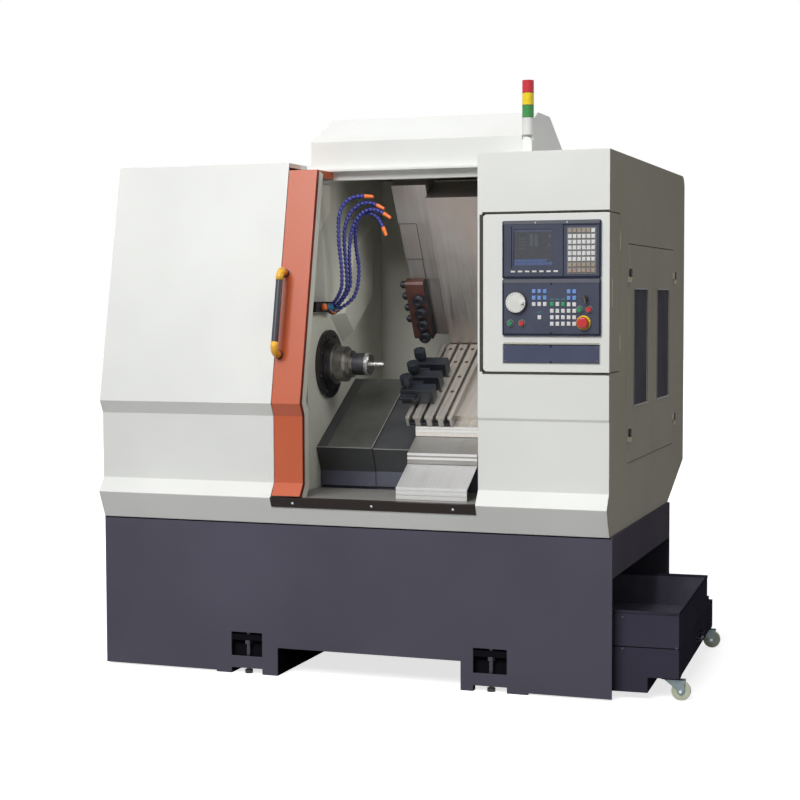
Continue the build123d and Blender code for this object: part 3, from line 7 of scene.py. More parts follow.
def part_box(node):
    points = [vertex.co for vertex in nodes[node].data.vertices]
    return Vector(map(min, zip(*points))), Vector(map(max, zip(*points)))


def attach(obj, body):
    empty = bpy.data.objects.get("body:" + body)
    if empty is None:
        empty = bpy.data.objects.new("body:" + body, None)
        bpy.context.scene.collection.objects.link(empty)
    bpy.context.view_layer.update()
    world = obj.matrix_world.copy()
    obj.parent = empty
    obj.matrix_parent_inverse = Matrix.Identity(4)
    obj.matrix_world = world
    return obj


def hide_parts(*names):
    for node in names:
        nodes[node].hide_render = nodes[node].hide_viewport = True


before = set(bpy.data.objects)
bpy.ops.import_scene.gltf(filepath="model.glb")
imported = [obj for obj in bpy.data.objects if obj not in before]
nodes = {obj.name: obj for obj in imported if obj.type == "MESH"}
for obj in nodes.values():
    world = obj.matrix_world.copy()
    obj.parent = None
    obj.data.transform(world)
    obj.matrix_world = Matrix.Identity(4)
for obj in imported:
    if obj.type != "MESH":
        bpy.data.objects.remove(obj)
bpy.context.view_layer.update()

# Lines that places are set out from, read from the frame; places below are in millimetres from them
MM = 0.001
base_low, base_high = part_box("base")
MID_X = (base_low.x + base_high.x) / 2
FRONT_Y = base_low.y
BASE_TOP = base_high.z
BAND_OUT, UNIT_PROUD = 10 * MM, 8 * MM
RIGHT_X = base_high.x - BAND_OUT
spindle_low, spindle_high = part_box("spindle")
SPINDLE_Y = (spindle_low.y + spindle_high.y) / 2
SPINDLE_Z = (spindle_low.z + spindle_high.z) / 2
PANEL_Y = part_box("blank_plate")[1].y
UNIT_Y = PANEL_Y - UNIT_PROUD

SLANT = math.radians(30)
RIGHT = Vector((1, 0, 0))
BACK = Vector((0, 1, 0))
FORWARD = Vector((0, -1, 0))
UP = Vector((0, 0, 1))
SQUARE = Vector((0, -math.sin(SLANT), math.cos(SLANT)))
SLANT_AXES = Matrix.Translation((MID_X, SPINDLE_Y, SPINDLE_Z)) @ Matrix.Rotation(SLANT, 4, "X")


def at(x, y, z):
    """Point by its distances from the base's middle, the base's front and the floor."""
    return Vector((MID_X + x * MM, FRONT_Y + y * MM, z * MM))


def above_base(x, y, z):
    """Point by its distances from the middle of the base's front top edge."""
    return Vector((MID_X + x * MM, FRONT_Y + y * MM, BASE_TOP + z * MM))


def on_slant(x, s, t):
    """Point by its distances along the spindle, along the slant bed and square to it."""
    return SLANT_AXES @ Vector((x * MM, s * MM, t * MM))


# Materials
GRAIN_DEPTH, GRAIN_SCALE = 0.4 * MM, 900.0


def new_material(name):
    material = bpy.data.materials.new(name)
    material.use_nodes = True
    tree = material.node_tree
    return material, tree, tree.nodes["Principled BSDF"]


def preset(node, values):
    """Fixed values for a node's inputs, by their names."""
    for name, value in values.items():
        node.inputs[name].default_value = value


def noise(tree, scale, stretch=(1, 1, 1), turn=(0, 0, 0), detail=3.0):
    """Noise over the object's own coordinates, turned and stretched."""
    coords = tree.nodes.new("ShaderNodeTexCoord")
    mapping = tree.nodes.new("ShaderNodeMapping")
    mapping.vector_type = "TEXTURE"
    preset(mapping, {"Rotation": turn, "Scale": [1 / value for value in stretch]})
    texture = tree.nodes.new("ShaderNodeTexNoise")
    preset(texture, {"Scale": scale, "Detail": detail})
    tree.links.new(coords.outputs["Object"], mapping.inputs["Vector"])
    tree.links.new(mapping.outputs["Vector"], texture.inputs["Vector"])
    return texture.outputs["Fac"]


def remap(tree, value, low, high, source=(0.3, 0.7)):
    node = tree.nodes.new("ShaderNodeMapRange")
    preset(node, {"From Min": source[0], "From Max": source[1], "To Min": low, "To Max": high})
    tree.links.new(value, node.inputs["Value"])
    return node.outputs["Result"]


def mix(tree, factor, first, second):
    """Colour between two colours or colour sockets."""
    node = tree.nodes.new("ShaderNodeMix")
    node.data_type = "RGBA"
    tree.links.new(factor, node.inputs["Factor"])
    sockets = [socket for socket in node.inputs if socket.type == "RGBA"]
    for socket, value in zip(sockets, (first, second)):
        if isinstance(value, bpy.types.NodeSocket):
            tree.links.new(value, socket)
        else:
            socket.default_value = (*value, 1)
    return next(socket for socket in node.outputs if socket.type == "RGBA")


def shade(colour, share):
    return tuple(min(1.0, channel * share) for channel in colour)


def clouded(tree, colour, spread, scale):
    """Colour that drifts a little lighter and darker over the surface."""
    drift = remap(tree, noise(tree, scale), 0, 1)
    return mix(tree, drift, shade(colour, 1 - spread), shade(colour, 1 + spread))


def beyond(tree, axis, limit):
    """One where the object's coordinate along an axis is past a limit, else zero."""
    coords = tree.nodes.new("ShaderNodeTexCoord")
    split = tree.nodes.new("ShaderNodeSeparateXYZ")
    step = tree.nodes.new("ShaderNodeMath")
    step.operation = "GREATER_THAN"
    step.inputs[1].default_value = limit
    tree.links.new(coords.outputs["Object"], split.inputs["Vector"])
    tree.links.new(split.outputs[axis], step.inputs[0])
    return step.outputs["Value"]


def soft_edges(tree, bsdf, radius, grain=None, strength=0.0):
    """Rounded look along edges, with a fine surface texture if asked."""
    bevel = tree.nodes.new("ShaderNodeBevel")
    bevel.samples = 4
    bevel.inputs["Radius"].default_value = radius
    if grain is None:
        tree.links.new(bevel.outputs["Normal"], bsdf.inputs["Normal"])
        return
    lift = tree.nodes.new("ShaderNodeBump")
    preset(lift, {"Strength": strength, "Distance": GRAIN_DEPTH})
    tree.links.new(grain, lift.inputs["Height"])
    tree.links.new(bevel.outputs["Normal"], lift.inputs["Normal"])
    tree.links.new(lift.outputs["Normal"], bsdf.inputs["Normal"])


def paint(name, colour, rough=0.4, cloud=0.04, cloud_scale=2.5, bump=0.06, edge=2.5 * MM,
          past=None, gloss=0.5):
    """Sprayed paint; past is an axis, a distance along it, and the colour and gloss beyond that."""
    material, tree, bsdf = new_material(name)
    tone = clouded(tree, colour, cloud, cloud_scale)
    if past:
        axis, limit, far_colour, far_gloss = past
        far = beyond(tree, axis, limit)
        tone = mix(tree, far, tone, clouded(tree, far_colour, cloud, cloud_scale))
        tree.links.new(remap(tree, far, gloss, far_gloss, (0.0, 1.0)), bsdf.inputs["Specular IOR Level"])
    else:
        bsdf.inputs["Specular IOR Level"].default_value = gloss
    tree.links.new(tone, bsdf.inputs["Base Color"])
    grain = noise(tree, GRAIN_SCALE, detail=2.0)
    tree.links.new(remap(tree, grain, rough - 0.05, rough + 0.05), bsdf.inputs["Roughness"])
    soft_edges(tree, bsdf, edge, grain, bump)
    return material


def plastic(name, colour, rough=0.35, cloud=0.08):
    return paint(name, colour, rough, cloud, 40.0, 0.05, 0.8 * MM)


def brushed(name, colour, rough=0.36, streak=0.2, stretch=(260, 3, 260), turn=(0, 0, 0),
            stain=None, metal=0.9):
    """Metal with fine streaks along one direction and, if asked, large soft stains."""
    material, tree, bsdf = new_material(name)
    lines = noise(tree, 1.0, stretch, turn, 4.0)
    tone = mix(tree, remap(tree, lines, 0, 1), shade(colour, 1 - streak), shade(colour, 1 + streak))
    if stain:
        patches = remap(tree, noise(tree, 5.0, (1, 0.5, 1), turn), 0, 0.8, (0.42, 0.66))
        tone = mix(tree, patches, tone, stain)
    bsdf.inputs["Metallic"].default_value = metal
    tree.links.new(tone, bsdf.inputs["Base Color"])
    tree.links.new(remap(tree, lines, rough - 0.08, rough + 0.1), bsdf.inputs["Roughness"])
    soft_edges(tree, bsdf, 1.2 * MM)
    return material


def height_bands(name, bands, rough=0.22):
    """Plastic whose colour changes at given heights; each band is (from height, colour)."""
    material, tree, bsdf = new_material(name)
    tone = clouded(tree, bands[0][1], 0.05, 60.0)
    for height, colour in bands[1:]:
        tone = mix(tree, beyond(tree, "Z", height), tone, clouded(tree, colour, 0.12, 60.0))
    tree.links.new(tone, bsdf.inputs["Base Color"])
    bsdf.inputs["Roughness"].default_value = rough
    return material


def glass(name, colour, rough=0.06):
    """Tinted pane that lets most of the light through."""
    material, tree, bsdf = new_material(name)
    tree.links.new(clouded(tree, colour, 0.08, 4.0), bsdf.inputs["Base Color"])
    preset(bsdf, {"Roughness": rough, "Transmission Weight": 0.85, "IOR": 1.45})
    return material


def lit(name, colour, strength):
    """Part of a lit screen, a little uneven."""
    material, tree, bsdf = new_material(name)
    tone = clouded(tree, colour, 0.15, 90.0)
    tree.links.new(tone, bsdf.inputs["Base Color"])
    tree.links.new(tone, bsdf.inputs["Emission Color"])
    preset(bsdf, {"Emission Strength": strength, "Roughness": 0.25})
    return material


# Right-hand faces, the cabinet doors among them, are painted a darker, warmer grey as painted shade; the
# pillar's and panel box's fronts are painted a little whiter than the other white panels as painted light
SHADED_SIDE_GREY = (0.77, 0.73, 0.61)
SIDE_SKIN = 0.5 * MM
SHADED_SIDE = ("X", RIGHT_X - SIDE_SKIN, SHADED_SIDE_GREY, 0.0)
COVER_FOLD_Z = BASE_TOP + 156 * MM
SLANT_TURN = (SLANT, 0, 0)
tower_low, tower_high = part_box("signal_tower")
LENS = 41.3 * MM

WHITE = paint("white_paint", (0.79, 0.80, 0.775))
WHITE_LIT_FRONT_SHADED_SIDE = paint("white_paint_lit_front_shaded_side", (0.835, 0.848, 0.815), past=SHADED_SIDE)
SHADED_CABINET = paint("cabinet_paint", SHADED_SIDE_GREY, gloss=0.0)
# The base's right-hand face is painted a lighter tone: painted light on that side
BASE_WITH_LIT_SIDE = paint("base_paint", (0.105, 0.1, 0.133), rough=0.5, cloud=0.08, gloss=0.0,
             past=("X", base_high.x - SIDE_SKIN, (0.165, 0.155, 0.19), 0.0))
BASE_DARK = paint("base_shadow_paint", (0.01, 0.01, 0.013), rough=0.6, gloss=0.0)
ORANGE = paint("orange_paint", (0.53, 0.092, 0.024), rough=0.32, cloud=0.05)
# Dark red for the stile's inner flange: painted shade
ORANGE_FLANGE_SHADE = paint("orange_shade_paint", (0.16, 0.012, 0.006), rough=0.45)
INNER = paint("inner_paint", (0.74, 0.74, 0.645), rough=0.5, cloud=0.07, cloud_scale=4.0)
STRIP = paint("strip_paint", (0.026, 0.019, 0.017), rough=0.5, gloss=0.15)
BED_NAVY = (0.082, 0.086, 0.118)
BED = paint("bed_paint", BED_NAVY, rough=0.45, cloud=0.12, cloud_scale=6.0)
COVER = paint("way_cover_paint", BED_NAVY, rough=0.4, cloud=0.2, cloud_scale=6.0,
              past=("Z", COVER_FOLD_Z, (0.062, 0.064, 0.068), 0.4))
CART = paint("cart_paint", (0.055, 0.051, 0.076), rough=0.45, cloud=0.12, gloss=0.0)
TRAY = paint("tray_paint", (0.06, 0.056, 0.083), rough=0.45, cloud=0.12, gloss=0.0)
TRAY_INSIDE_LIT = paint("tray_inside_painted_light", (0.17, 0.16, 0.21), rough=0.6, cloud=0.2, cloud_scale=9.0, gloss=0.0)
SILL = paint("sill_plate_paint", (0.22, 0.215, 0.2), rough=0.5)
UNIT = paint("unit_plastic", (0.05, 0.057, 0.092), rough=0.42, cloud=0.12, cloud_scale=14.0, gloss=0.3)
UNIT_DARK = paint("unit_dark_plastic", (0.018, 0.02, 0.038), rough=0.5, edge=0.8 * MM, gloss=0.08)
UNIT_STRIP = paint("unit_strip_paint", (0.085, 0.09, 0.115), rough=0.4)
BLANK = paint("blank_plate_paint", (0.055, 0.064, 0.115), rough=0.4, cloud=0.1, cloud_scale=12.0, gloss=0.3)
RECESS_SHADE_GREY = paint("recess_shade_paint", (0.44, 0.44, 0.375), rough=0.45)
GAP_SHADE = paint("gap_shade_paint", (0.06, 0.06, 0.045), rough=0.6, gloss=0.2)
HEAD = paint("head_paint", (0.085, 0.032, 0.024), rough=0.45, cloud=0.3, cloud_scale=30.0)
BLACK = paint("black_oxide", (0.014, 0.017, 0.024), rough=0.33, cloud=0.3, cloud_scale=30.0)
RUBBER = plastic("black_plastic", (0.014, 0.014, 0.018), rough=0.5)
HANDLE = plastic("handle_plastic", (0.03, 0.03, 0.045), rough=0.38)
YELLOW = plastic("yellow_plastic", (0.88, 0.46, 0.03), rough=0.35)
STOP_YELLOW = plastic("stop_yellow_plastic", (0.85, 0.60, 0.02), rough=0.35)
COLLAR = plastic("collar_plastic", (0.17, 0.17, 0.18), rough=0.35)
HOSE = plastic("hose_plastic", (0.026, 0.033, 0.27), rough=0.2)
NOZZLE = plastic("nozzle_plastic", (0.92, 0.2, 0.03), rough=0.4)
BLUE = plastic("blue_plastic", (0.02, 0.15, 0.30), rough=0.3)
GREEN = plastic("green_plastic", (0.015, 0.23, 0.09), rough=0.25)
RED = plastic("red_plastic", (0.58, 0.022, 0.022), rough=0.25)
LIGHT = plastic("light_plastic", (0.78, 0.78, 0.74), rough=0.3)
LEVER_BROWN = plastic("lever_plastic", (0.07, 0.045, 0.03), rough=0.4)
KEY_GROUND = paint("key_ground_plastic", (0.20, 0.20, 0.205), rough=0.5, gloss=0.2)
LIT_PLATE_CREAM = paint("plate_lit_cream_paint", (0.92, 0.90, 0.76), rough=0.5)
DIAL_RIM_SHADE_AND_MARKS = plastic("dial_rim_shade_and_mark_plastic", (0.11, 0.10, 0.09), rough=0.35)
KEY_WHITE = plastic("white_key_plastic", (0.74, 0.74, 0.73), rough=0.45)
KEY_TAN = plastic("tan_key_plastic", (0.34, 0.285, 0.225), rough=0.45)
KEY_RED = plastic("red_key_plastic", (0.36, 0.235, 0.19), rough=0.45)
KEY_BLUE = plastic("blue_key_plastic", (0.16, 0.30, 0.66), rough=0.4)
KEY_GREEN = plastic("green_key_plastic", (0.02, 0.29, 0.08), rough=0.4)
WHEEL = plastic("wheel_plastic", (0.60, 0.645, 0.48), rough=0.45)
# Light grey strips along the way covers' folds: painted highlight
FOLD_HIGHLIGHT = paint("fold_highlight_paint", (0.34, 0.34, 0.325), rough=0.4)
LEAF = paint("leaf_plate_paint", (0.102, 0.103, 0.096), rough=0.34, cloud=0.35, cloud_scale=5.0)
HOLE = paint("hole_shadow", (0.07, 0.035, 0.02), rough=0.6)
CART_RIM_SHADE = paint("cart_rim_shade_paint", (0.048, 0.045, 0.064), rough=0.5, cloud=0.2, cloud_scale=20.0, gloss=0.0)
STEEL = brushed("brushed_cover_steel", (0.27, 0.266, 0.255), rough=0.45, streak=0.08, stretch=(500, 2, 500),
                turn=SLANT_TURN, stain=(0.22, 0.19, 0.165), metal=0.6)
APRON = brushed("brushed_apron_steel", (0.55, 0.55, 0.55), rough=0.45, streak=0.06, stretch=(500, 2, 500),
                turn=SLANT_TURN, metal=0.6)
BROWN_STEEL = brushed("brushed_column_steel", (0.30, 0.285, 0.27), rough=0.42, streak=0.12,
                      stretch=(150, 3, 4), turn=SLANT_TURN, stain=(0.27, 0.225, 0.20))
TABLE = brushed("ground_table_steel", (0.48, 0.455, 0.42), rough=0.45, streak=0.15, turn=SLANT_TURN)
LIP_HIGHLIGHT = brushed("lip_highlight_steel", (0.62, 0.62, 0.615), rough=0.5, streak=0.05, turn=SLANT_TURN, metal=0.4)
SPINDLE = brushed("spindle_steel", (0.36, 0.345, 0.315), rough=0.3, streak=0.12, stretch=(500, 2, 2),
                  stain=(0.13, 0.12, 0.12))
CAP = brushed("cap_steel", (0.055, 0.055, 0.062), rough=0.3, streak=0.15, stretch=(500, 2, 2),
              stain=(0.06, 0.05, 0.045), metal=0.7)
BRIGHT = brushed("turned_steel", (0.80, 0.80, 0.79), rough=0.22, streak=0.12, stretch=(700, 2, 2))
ZINC = brushed("zinc_plate", (0.5, 0.55, 0.57), rough=0.4, streak=0.1, stretch=(40, 40, 40))
FORK = brushed("fork_zinc_plate", (0.21, 0.26, 0.275), rough=0.4, streak=0.15, stretch=(60, 60, 60),
               metal=0.5)
DARK_STEEL = brushed("dark_fastener_steel", (0.09, 0.09, 0.10), rough=0.45, streak=0.1, stretch=(60, 60, 60))
GLASS = glass("door_glass", (0.75, 0.8, 0.8))
PANE = paint("dark_pane", (0.2, 0.195, 0.232), rough=0.3, cloud=0.15, cloud_scale=5.0, bump=0.0, gloss=0.0)
TOWER = height_bands("tower_plastic", (
    (0.0, (0.74, 0.74, 0.72)),
    (tower_high.z - 3 * LENS, (0.035, 0.27, 0.06)),
    (tower_high.z - 2 * LENS, (0.90, 0.66, 0.01)),
    (tower_high.z - LENS, (0.62, 0.015, 0.03)),
))
SCREEN = lit("screen_dark", (0.036, 0.038, 0.047), 0.25)
SCREEN_HEAD = lit("screen_head", (0.045, 0.054, 0.10), 0.3)
SCREEN_FOOT = lit("screen_foot", (0.045, 0.07, 0.16), 0.4)
KEY_LAMP = lit("key_lamp", (0.03, 0.12, 0.12), 0.3)
SCREEN_MARK = lit("screen_mark", (0.055, 0.062, 0.065), 0.3)

NODE_MATERIALS = (
    (WHITE, ("front_skirt", "left_cover", "rear_housing", "hood", "door_panel")),
    (WHITE_LIT_FRONT_SHADED_SIDE, ("pillar", "panel_box")),
    (BASE_WITH_LIT_SIDE, ("base",)),
    (BLACK, ("levelling_screws",)),
    (FORK, ("caster_fork_front", "caster_fork_rear")),
    (STRIP, ("sill_strip",)),
    (INNER, ("headstock_wall",)),
    (CAP, ("bearing_cap",)),
    (SPINDLE, ("spindle",)),
    (BRIGHT, ("workpiece",)),
    (BED, ("bed",)),
    (COVER, ("way_cover_fixed", "way_cover_leaf")),
    (RUBBER, ("coolant_manifold", "selector")),
    (NOZZLE, ("hose_nozzles",)),
    (HOSE, ("hose_1", "hose_2", "hose_3", "hose_4")),
    (ORANGE, ("door_stile",)),
    (GLASS, ("door_window",)),
    (HANDLE, ("door_handle",)),
    (APRON, ("saddle",)),
    (STEEL, ("cover_middle",)),
    (TABLE, ("cross_table",)),
    (BROWN_STEEL, ("column", "head_cover_middle", "head_cover_lower")),
    (BLACK, ("tool_posts", "driven_tool_1", "driven_tool_2", "driven_tool_3", "driven_tool_4")),
    (HEAD, ("power_head",)),
    (UNIT, ("display_unit", "operator_unit")),
    (BLANK, ("blank_plate",)),
    (LIGHT, ("handwheel",)),
    (GREEN, ("button_start", "button_power_on")),
    (RED, ("button_halt", "button_power_off", "stop_button")),
    (TOWER, ("signal_tower",)),
    (SHADED_CABINET, ("cabinet_door_front", "cabinet_door_rear")),
    (CART, ("cart_tank", "pump_cover")),
    (TRAY, ("chip_tray",)),
    (WHEEL, ("caster_wheel_front_right", "caster_wheel_front_left",
             "caster_wheel_rear_right", "caster_wheel_rear_left")),
)
for material, names in NODE_MATERIALS:
    for name in names:
        nodes[name].data.materials.clear()
        nodes[name].data.materials.append(material)


# Mesh helpers

def piece(name, build, material, body, smooth=False):
    """New object whose mesh is filled by a function and which moves with a body."""
    mesh = bpy.data.meshes.new(name)
    shape = bmesh.new()
    build(shape)
    bmesh.ops.recalc_face_normals(shape, faces=shape.faces)
    for face in shape.faces:
        face.smooth = smooth
    shape.to_mesh(mesh)
    shape.free()
    thing = bpy.data.objects.new(name, mesh)
    bpy.context.scene.collection.objects.link(thing)
    mesh.materials.append(material)
    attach(thing, body)
    return thing


def add_box(shape, low, high, axes=None):
    """Box between two corners in metres, in the given axes."""
    size = [high[i] - low[i] for i in range(3)]
    middle = [(high[i] + low[i]) / 2 for i in range(3)]
    matrix = Matrix.Translation(middle) @ Matrix.Diagonal((*size, 1))
    bmesh.ops.create_cube(shape, size=1.0, matrix=(axes @ matrix) if axes else matrix)


def slant_box(shape, x_span, s_span, t_span):
    """Box in line with the slant bed, in millimetres."""
    low, high = zip(x_span, s_span, t_span)
    add_box(shape, [value * MM for value in low], [value * MM for value in high], SLANT_AXES)


def add_rod(shape, start, way, radius, length, tip=None, sides=24):
    """Cylinder or cone from a point along a direction."""
    turn = way.to_track_quat("Z", "Y").to_matrix().to_4x4()
    middle = Matrix.Translation(start + way.normalized() * length / 2)
    bmesh.ops.create_cone(shape, cap_ends=True, segments=sides, radius1=radius,
                          radius2=radius if tip is None else tip, depth=length, matrix=middle @ turn)


def add_ring(shape, centre, way, radius, sides):
    """Circle of vertices round a point."""
    unit = way.normalized()
    side = unit.cross(UP if abs(unit.y) > 0.9 else BACK).normalized()
    other = unit.cross(side)
    corners = []
    for step in range(sides):
        angle = 2 * math.pi * step / sides
        corners.append(shape.verts.new(centre + (side * math.cos(angle) + other * math.sin(angle)) * radius))
    return corners


def skin(shape, rings, closed_ends=True):
    """Faces between rings that follow each other, with caps."""
    for first, second in zip(rings, rings[1:]):
        count = len(first)
        for index in range(count):
            following = (index + 1) % count
            shape.faces.new((first[index], first[following], second[following], second[index]))
    if closed_ends:
        shape.faces.new(rings[0])
        shape.faces.new(rings[-1])


def add_turned(shape, start, way, profile, sides):
    """Turned solid along a direction; the profile is (distance, radius) pairs in millimetres."""
    unit = way.normalized()
    skin(shape, [add_ring(shape, start + unit * (d * MM), unit, r * MM, sides) for d, r in profile])


def hollow_turned(shape, start, way, profile, sides=32):
    """Turned ring along a direction, open through its middle."""
    rings = [add_ring(shape, start + way * (d * MM), way, r * MM, sides) for d, r in profile]
    skin(shape, rings + [rings[0]], closed_ends=False)


def add_tube(shape, points, radius, sides):
    """Round tube through points."""
    rings = []
    for index, point in enumerate(points):
        before = points[max(index - 1, 0)]
        after = points[min(index + 1, len(points) - 1)]
        rings.append(add_ring(shape, point, after - before, radius, sides))
    skin(shape, rings)


def add_screw(shape, place, way, radius, rise):
    """Domed screw head with a socket."""
    add_turned(shape, place, way, ((0, radius), (rise * 0.5, radius), (rise * 0.85, radius * 0.82),
                                   (rise, radius * 0.5), (rise * 0.4, radius * 0.42)), 16)


def repeat(name, add, rows, material, body, smooth=False):
    """Piece made by one mesh function, called once with each row of its arguments."""
    def build(shape):
        for row in rows:
            add(shape, *row)
    piece(name, build, material, body, smooth)


def screws(name, places, way, material, body, radius, rise):
    repeat(name, add_screw, [(place, way, radius, rise) for place in places], material, body)


def span_corners(x_span, y_span, z_span, place=at):
    """Two opposite corners of a box, by its spans."""
    low, high = zip(x_span, y_span, z_span)
    return place(*low), place(*high)


# Coolant hoses along the solids' routes, with the free ends drawn over a little; places are from the base's
# front top edge
HOSE_ROUTES = {
    "hose_1": ((-174, 322, 758), (-123, 292, 798), (-111, 268, 878), (-117, 252, 973),
               (-119, 252, 1050), (-115, 254, 1088), (-99, 258, 1121), (-71, 264, 1141), (-42, 271, 1146),
               (-26, 275, 1145)),
    "hose_2": ((-169, 346, 752), (-114, 322, 798), (-108, 306, 867), (-112, 296, 950), (-112, 289, 1006),
               (-104, 285, 1050), (-86, 283, 1087), (-58, 282, 1113), (-26, 283, 1124), (4, 284, 1119),
               (16, 284, 1113)),
    "hose_3": ((-166, 368, 760), (-111, 352, 810), (-109, 340, 879), (-108, 328, 951),
               (-94, 313, 1018), (-72, 302, 1062), (-42, 294, 1090), (-6, 288, 1101), (26, 285, 1093),
               (42, 284, 1083)),
    "hose_4": ((-172, 392, 745), (-124, 404, 771), (-104, 412, 831), (-99, 408, 898), (-105, 390, 965),
               (-97, 363, 1020), (-80, 334, 1063), (-52, 315, 1084), (-19, 303, 1088), (12, 297, 1074),
               (30, 294, 1048), (36, 293, 1034)),
}
BEAD_PITCH, BEAD_STEPS, BEAD_SIDES = 16 * MM, 25, 18
BEAD_PROFILE = ((0.0, 3.6), (0.1, 5.2), (0.24, 6.9), (0.48, 7.5), (0.72, 6.9), (0.88, 5.2))
NOZZLE_PROFILE = ((-2, 4.6), (0, 7.2), (11, 7.2), (12, 6.5), (30, 5.6), (31, 5.0), (27, 3.4))
VALVE_PROFILE = ((-30, 7), (-28, 10.5), (-14, 10.5), (-12, 8), (-8, 8), (-7, 9.5), (-1, 9.5), (0, 7))
LEVER_PROFILE = ((-25, 10.6), (-24, 12), (-18, 12), (-17, 10.6))
LEVER_BACK, LEVER_LENGTH, LEVER_RADIUS, LEVER_TIP = 21 * MM, 24 * MM, 3.2 * MM, 2.4 * MM


def route_line(name, points):
    """Points along the smooth line that has the route's points as its control points."""
    data = bpy.data.curves.new(name + "_route", "CURVE")
    data.dimensions = "3D"
    spline = data.splines.new("NURBS")
    spline.points.add(len(points) - 1)
    for target, point in zip(spline.points, points):
        target.co = (*point, 1)
    spline.order_u = 3
    spline.use_endpoint_u = True
    spline.resolution_u = 24
    carrier = bpy.data.objects.new(name + "_route", data)
    mesh = bpy.data.meshes.new_from_object(carrier)
    line = [vertex.co.copy() for vertex in mesh.vertices]
    bpy.data.objects.remove(carrier)
    bpy.data.curves.remove(data)
    bpy.data.meshes.remove(mesh)
    return line


def stations(line, count):
    """Evenly spaced points along a line, each with its direction, and the line's length."""
    total = [0.0]
    for first, second in zip(line, line[1:]):
        total.append(total[-1] + (second - first).length)
    found = []
    index = 0
    for step in range(count + 1):
        distance = total[-1] * step / count
        while index < len(line) - 2 and total[index + 1] < distance:
            index += 1
        share = (distance - total[index]) / (total[index + 1] - total[index])
        way = (line[index + 1] - line[index]).normalized()
        found.append((line[index].lerp(line[index + 1], share), way))
    return found, total[-1]


def beaded_hose(name, points):
    """Jointed hose along its route, with the nozzle on its end."""
    line = route_line(name, points)
    length = stations(line, 1)[1]
    beads = round(length / BEAD_PITCH)
    fine = stations(line, beads * BEAD_STEPS)[0]

    def build_beads(shape):
        rings = []
        for bead in range(beads):
            for share, radius in BEAD_PROFILE:
                centre, way = fine[bead * BEAD_STEPS + round(share * BEAD_STEPS)]
                rings.append(add_ring(shape, centre, way, radius * MM, BEAD_SIDES))
        rings.append(add_ring(shape, *fine[-1], BEAD_PROFILE[0][1] * MM, BEAD_SIDES))
        skin(shape, rings)

    def build_nozzle(shape):
        add_turned(shape, *fine[-1], NOZZLE_PROFILE, 20)

    hose = piece(name + "_beads", build_beads, HOSE, "machine", smooth=True)
    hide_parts(name)
    nozzle = piece(name + "_nozzle", build_nozzle, NOZZLE, "machine")
    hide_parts("hose_nozzles")
    return fine[0]


hose_starts = [beaded_hose(name, [above_base(*point) for point in route])
               for name, route in HOSE_ROUTES.items()]


def build_levers(shape):
    for start, way in hose_starts:
        add_turned(shape, start, way, LEVER_PROFILE, 20)
        add_rod(shape, start - way * LEVER_BACK, UP, LEVER_RADIUS, LEVER_LENGTH, LEVER_TIP, 12)


repeat("hose_valves", add_turned, [(*start, VALVE_PROFILE, 20) for start in hose_starts],
       BLUE, "machine", True)
piece("hose_levers", build_levers, NOZZLE, "machine", smooth=True)

# Knobs on the manifold's face
KNOB_PROFILE = ((0, 9), (3, 12.5), (15, 12.5), (17, 10.5), (17, 5), (15, 4))
KNOB_X, KNOB_RISE = -183, 752
KNOBS = {"blue": (BLUE, (292, 316)), "orange": (NOZZLE, (250,))}
for colour, (material, places) in KNOBS.items():
    rows = [(above_base(KNOB_X, y, KNOB_RISE), RIGHT, KNOB_PROFILE, 24) for y in places]
    repeat(f"manifold_knobs_{colour}", add_turned, rows, material, "machine", True)

# Pale cream face of the raised plate on the wall: painted light
PLATE_CORNERS = ((166, 0), (166, 213), (420, 213), (420, 118), (259, 0))
PLATE_X, PLATE_SKIN, PLATE_DROP = -217, 0.5, 264
PLATE_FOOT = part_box("headstock_wall")[1].z - PLATE_DROP * MM


def build_plate_lit_face(shape):
    skin(shape, [[shape.verts.new(at(x, y, z) + UP * PLATE_FOOT) for y, z in PLATE_CORNERS]
                 for x in (PLATE_X, PLATE_X + PLATE_SKIN)])


piece("raised_plate_lit_face", build_plate_lit_face, LIT_PLATE_CREAM, "machine")

# Door handle: bright elbows over both bends of the grip
HANDLE_REACH, HANDLE_BEND, HANDLE_LENGTH, ELBOW_RADIUS = 48, 22, 290, 13.4
ELBOW_STRAIGHT, ELBOW_STEPS = 14, 12
handle_low, handle_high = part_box("door_handle")
HANDLE_X = (handle_low.x + handle_high.x) / 2
SLOPE_LOW, SLOPE_HIGH = above_base(0, -29, 420), above_base(0, 150, 1260)
HANDLE_SHARE = 0.2
slope_way = (SLOPE_HIGH - SLOPE_LOW).normalized()
slope_out = Vector((0, -slope_way.z, slope_way.y))
handle_foot = SLOPE_LOW.lerp(SLOPE_HIGH, HANDLE_SHARE)
handle_foot.x = HANDLE_X


def build_elbows(shape):
    handle_top = handle_foot + slope_way * HANDLE_LENGTH * MM
    for foot, inward in ((handle_foot, slope_way), (handle_top, -slope_way)):
        centre = foot + slope_out * (HANDLE_REACH - HANDLE_BEND) * MM + inward * HANDLE_BEND * MM
        points = [centre - inward * HANDLE_BEND * MM - slope_out * ELBOW_STRAIGHT * MM]
        for step in range(ELBOW_STEPS + 1):
            angle = math.pi / 2 * step / ELBOW_STEPS
            reach = slope_out * math.sin(angle) - inward * math.cos(angle)
            points.append(centre + reach * HANDLE_BEND * MM)
        points.append(centre + slope_out * HANDLE_BEND * MM + inward * ELBOW_STRAIGHT * MM)
        add_tube(shape, points, ELBOW_RADIUS * MM, 24)


piece("handle_elbows", build_elbows, YELLOW, "door", smooth=True)

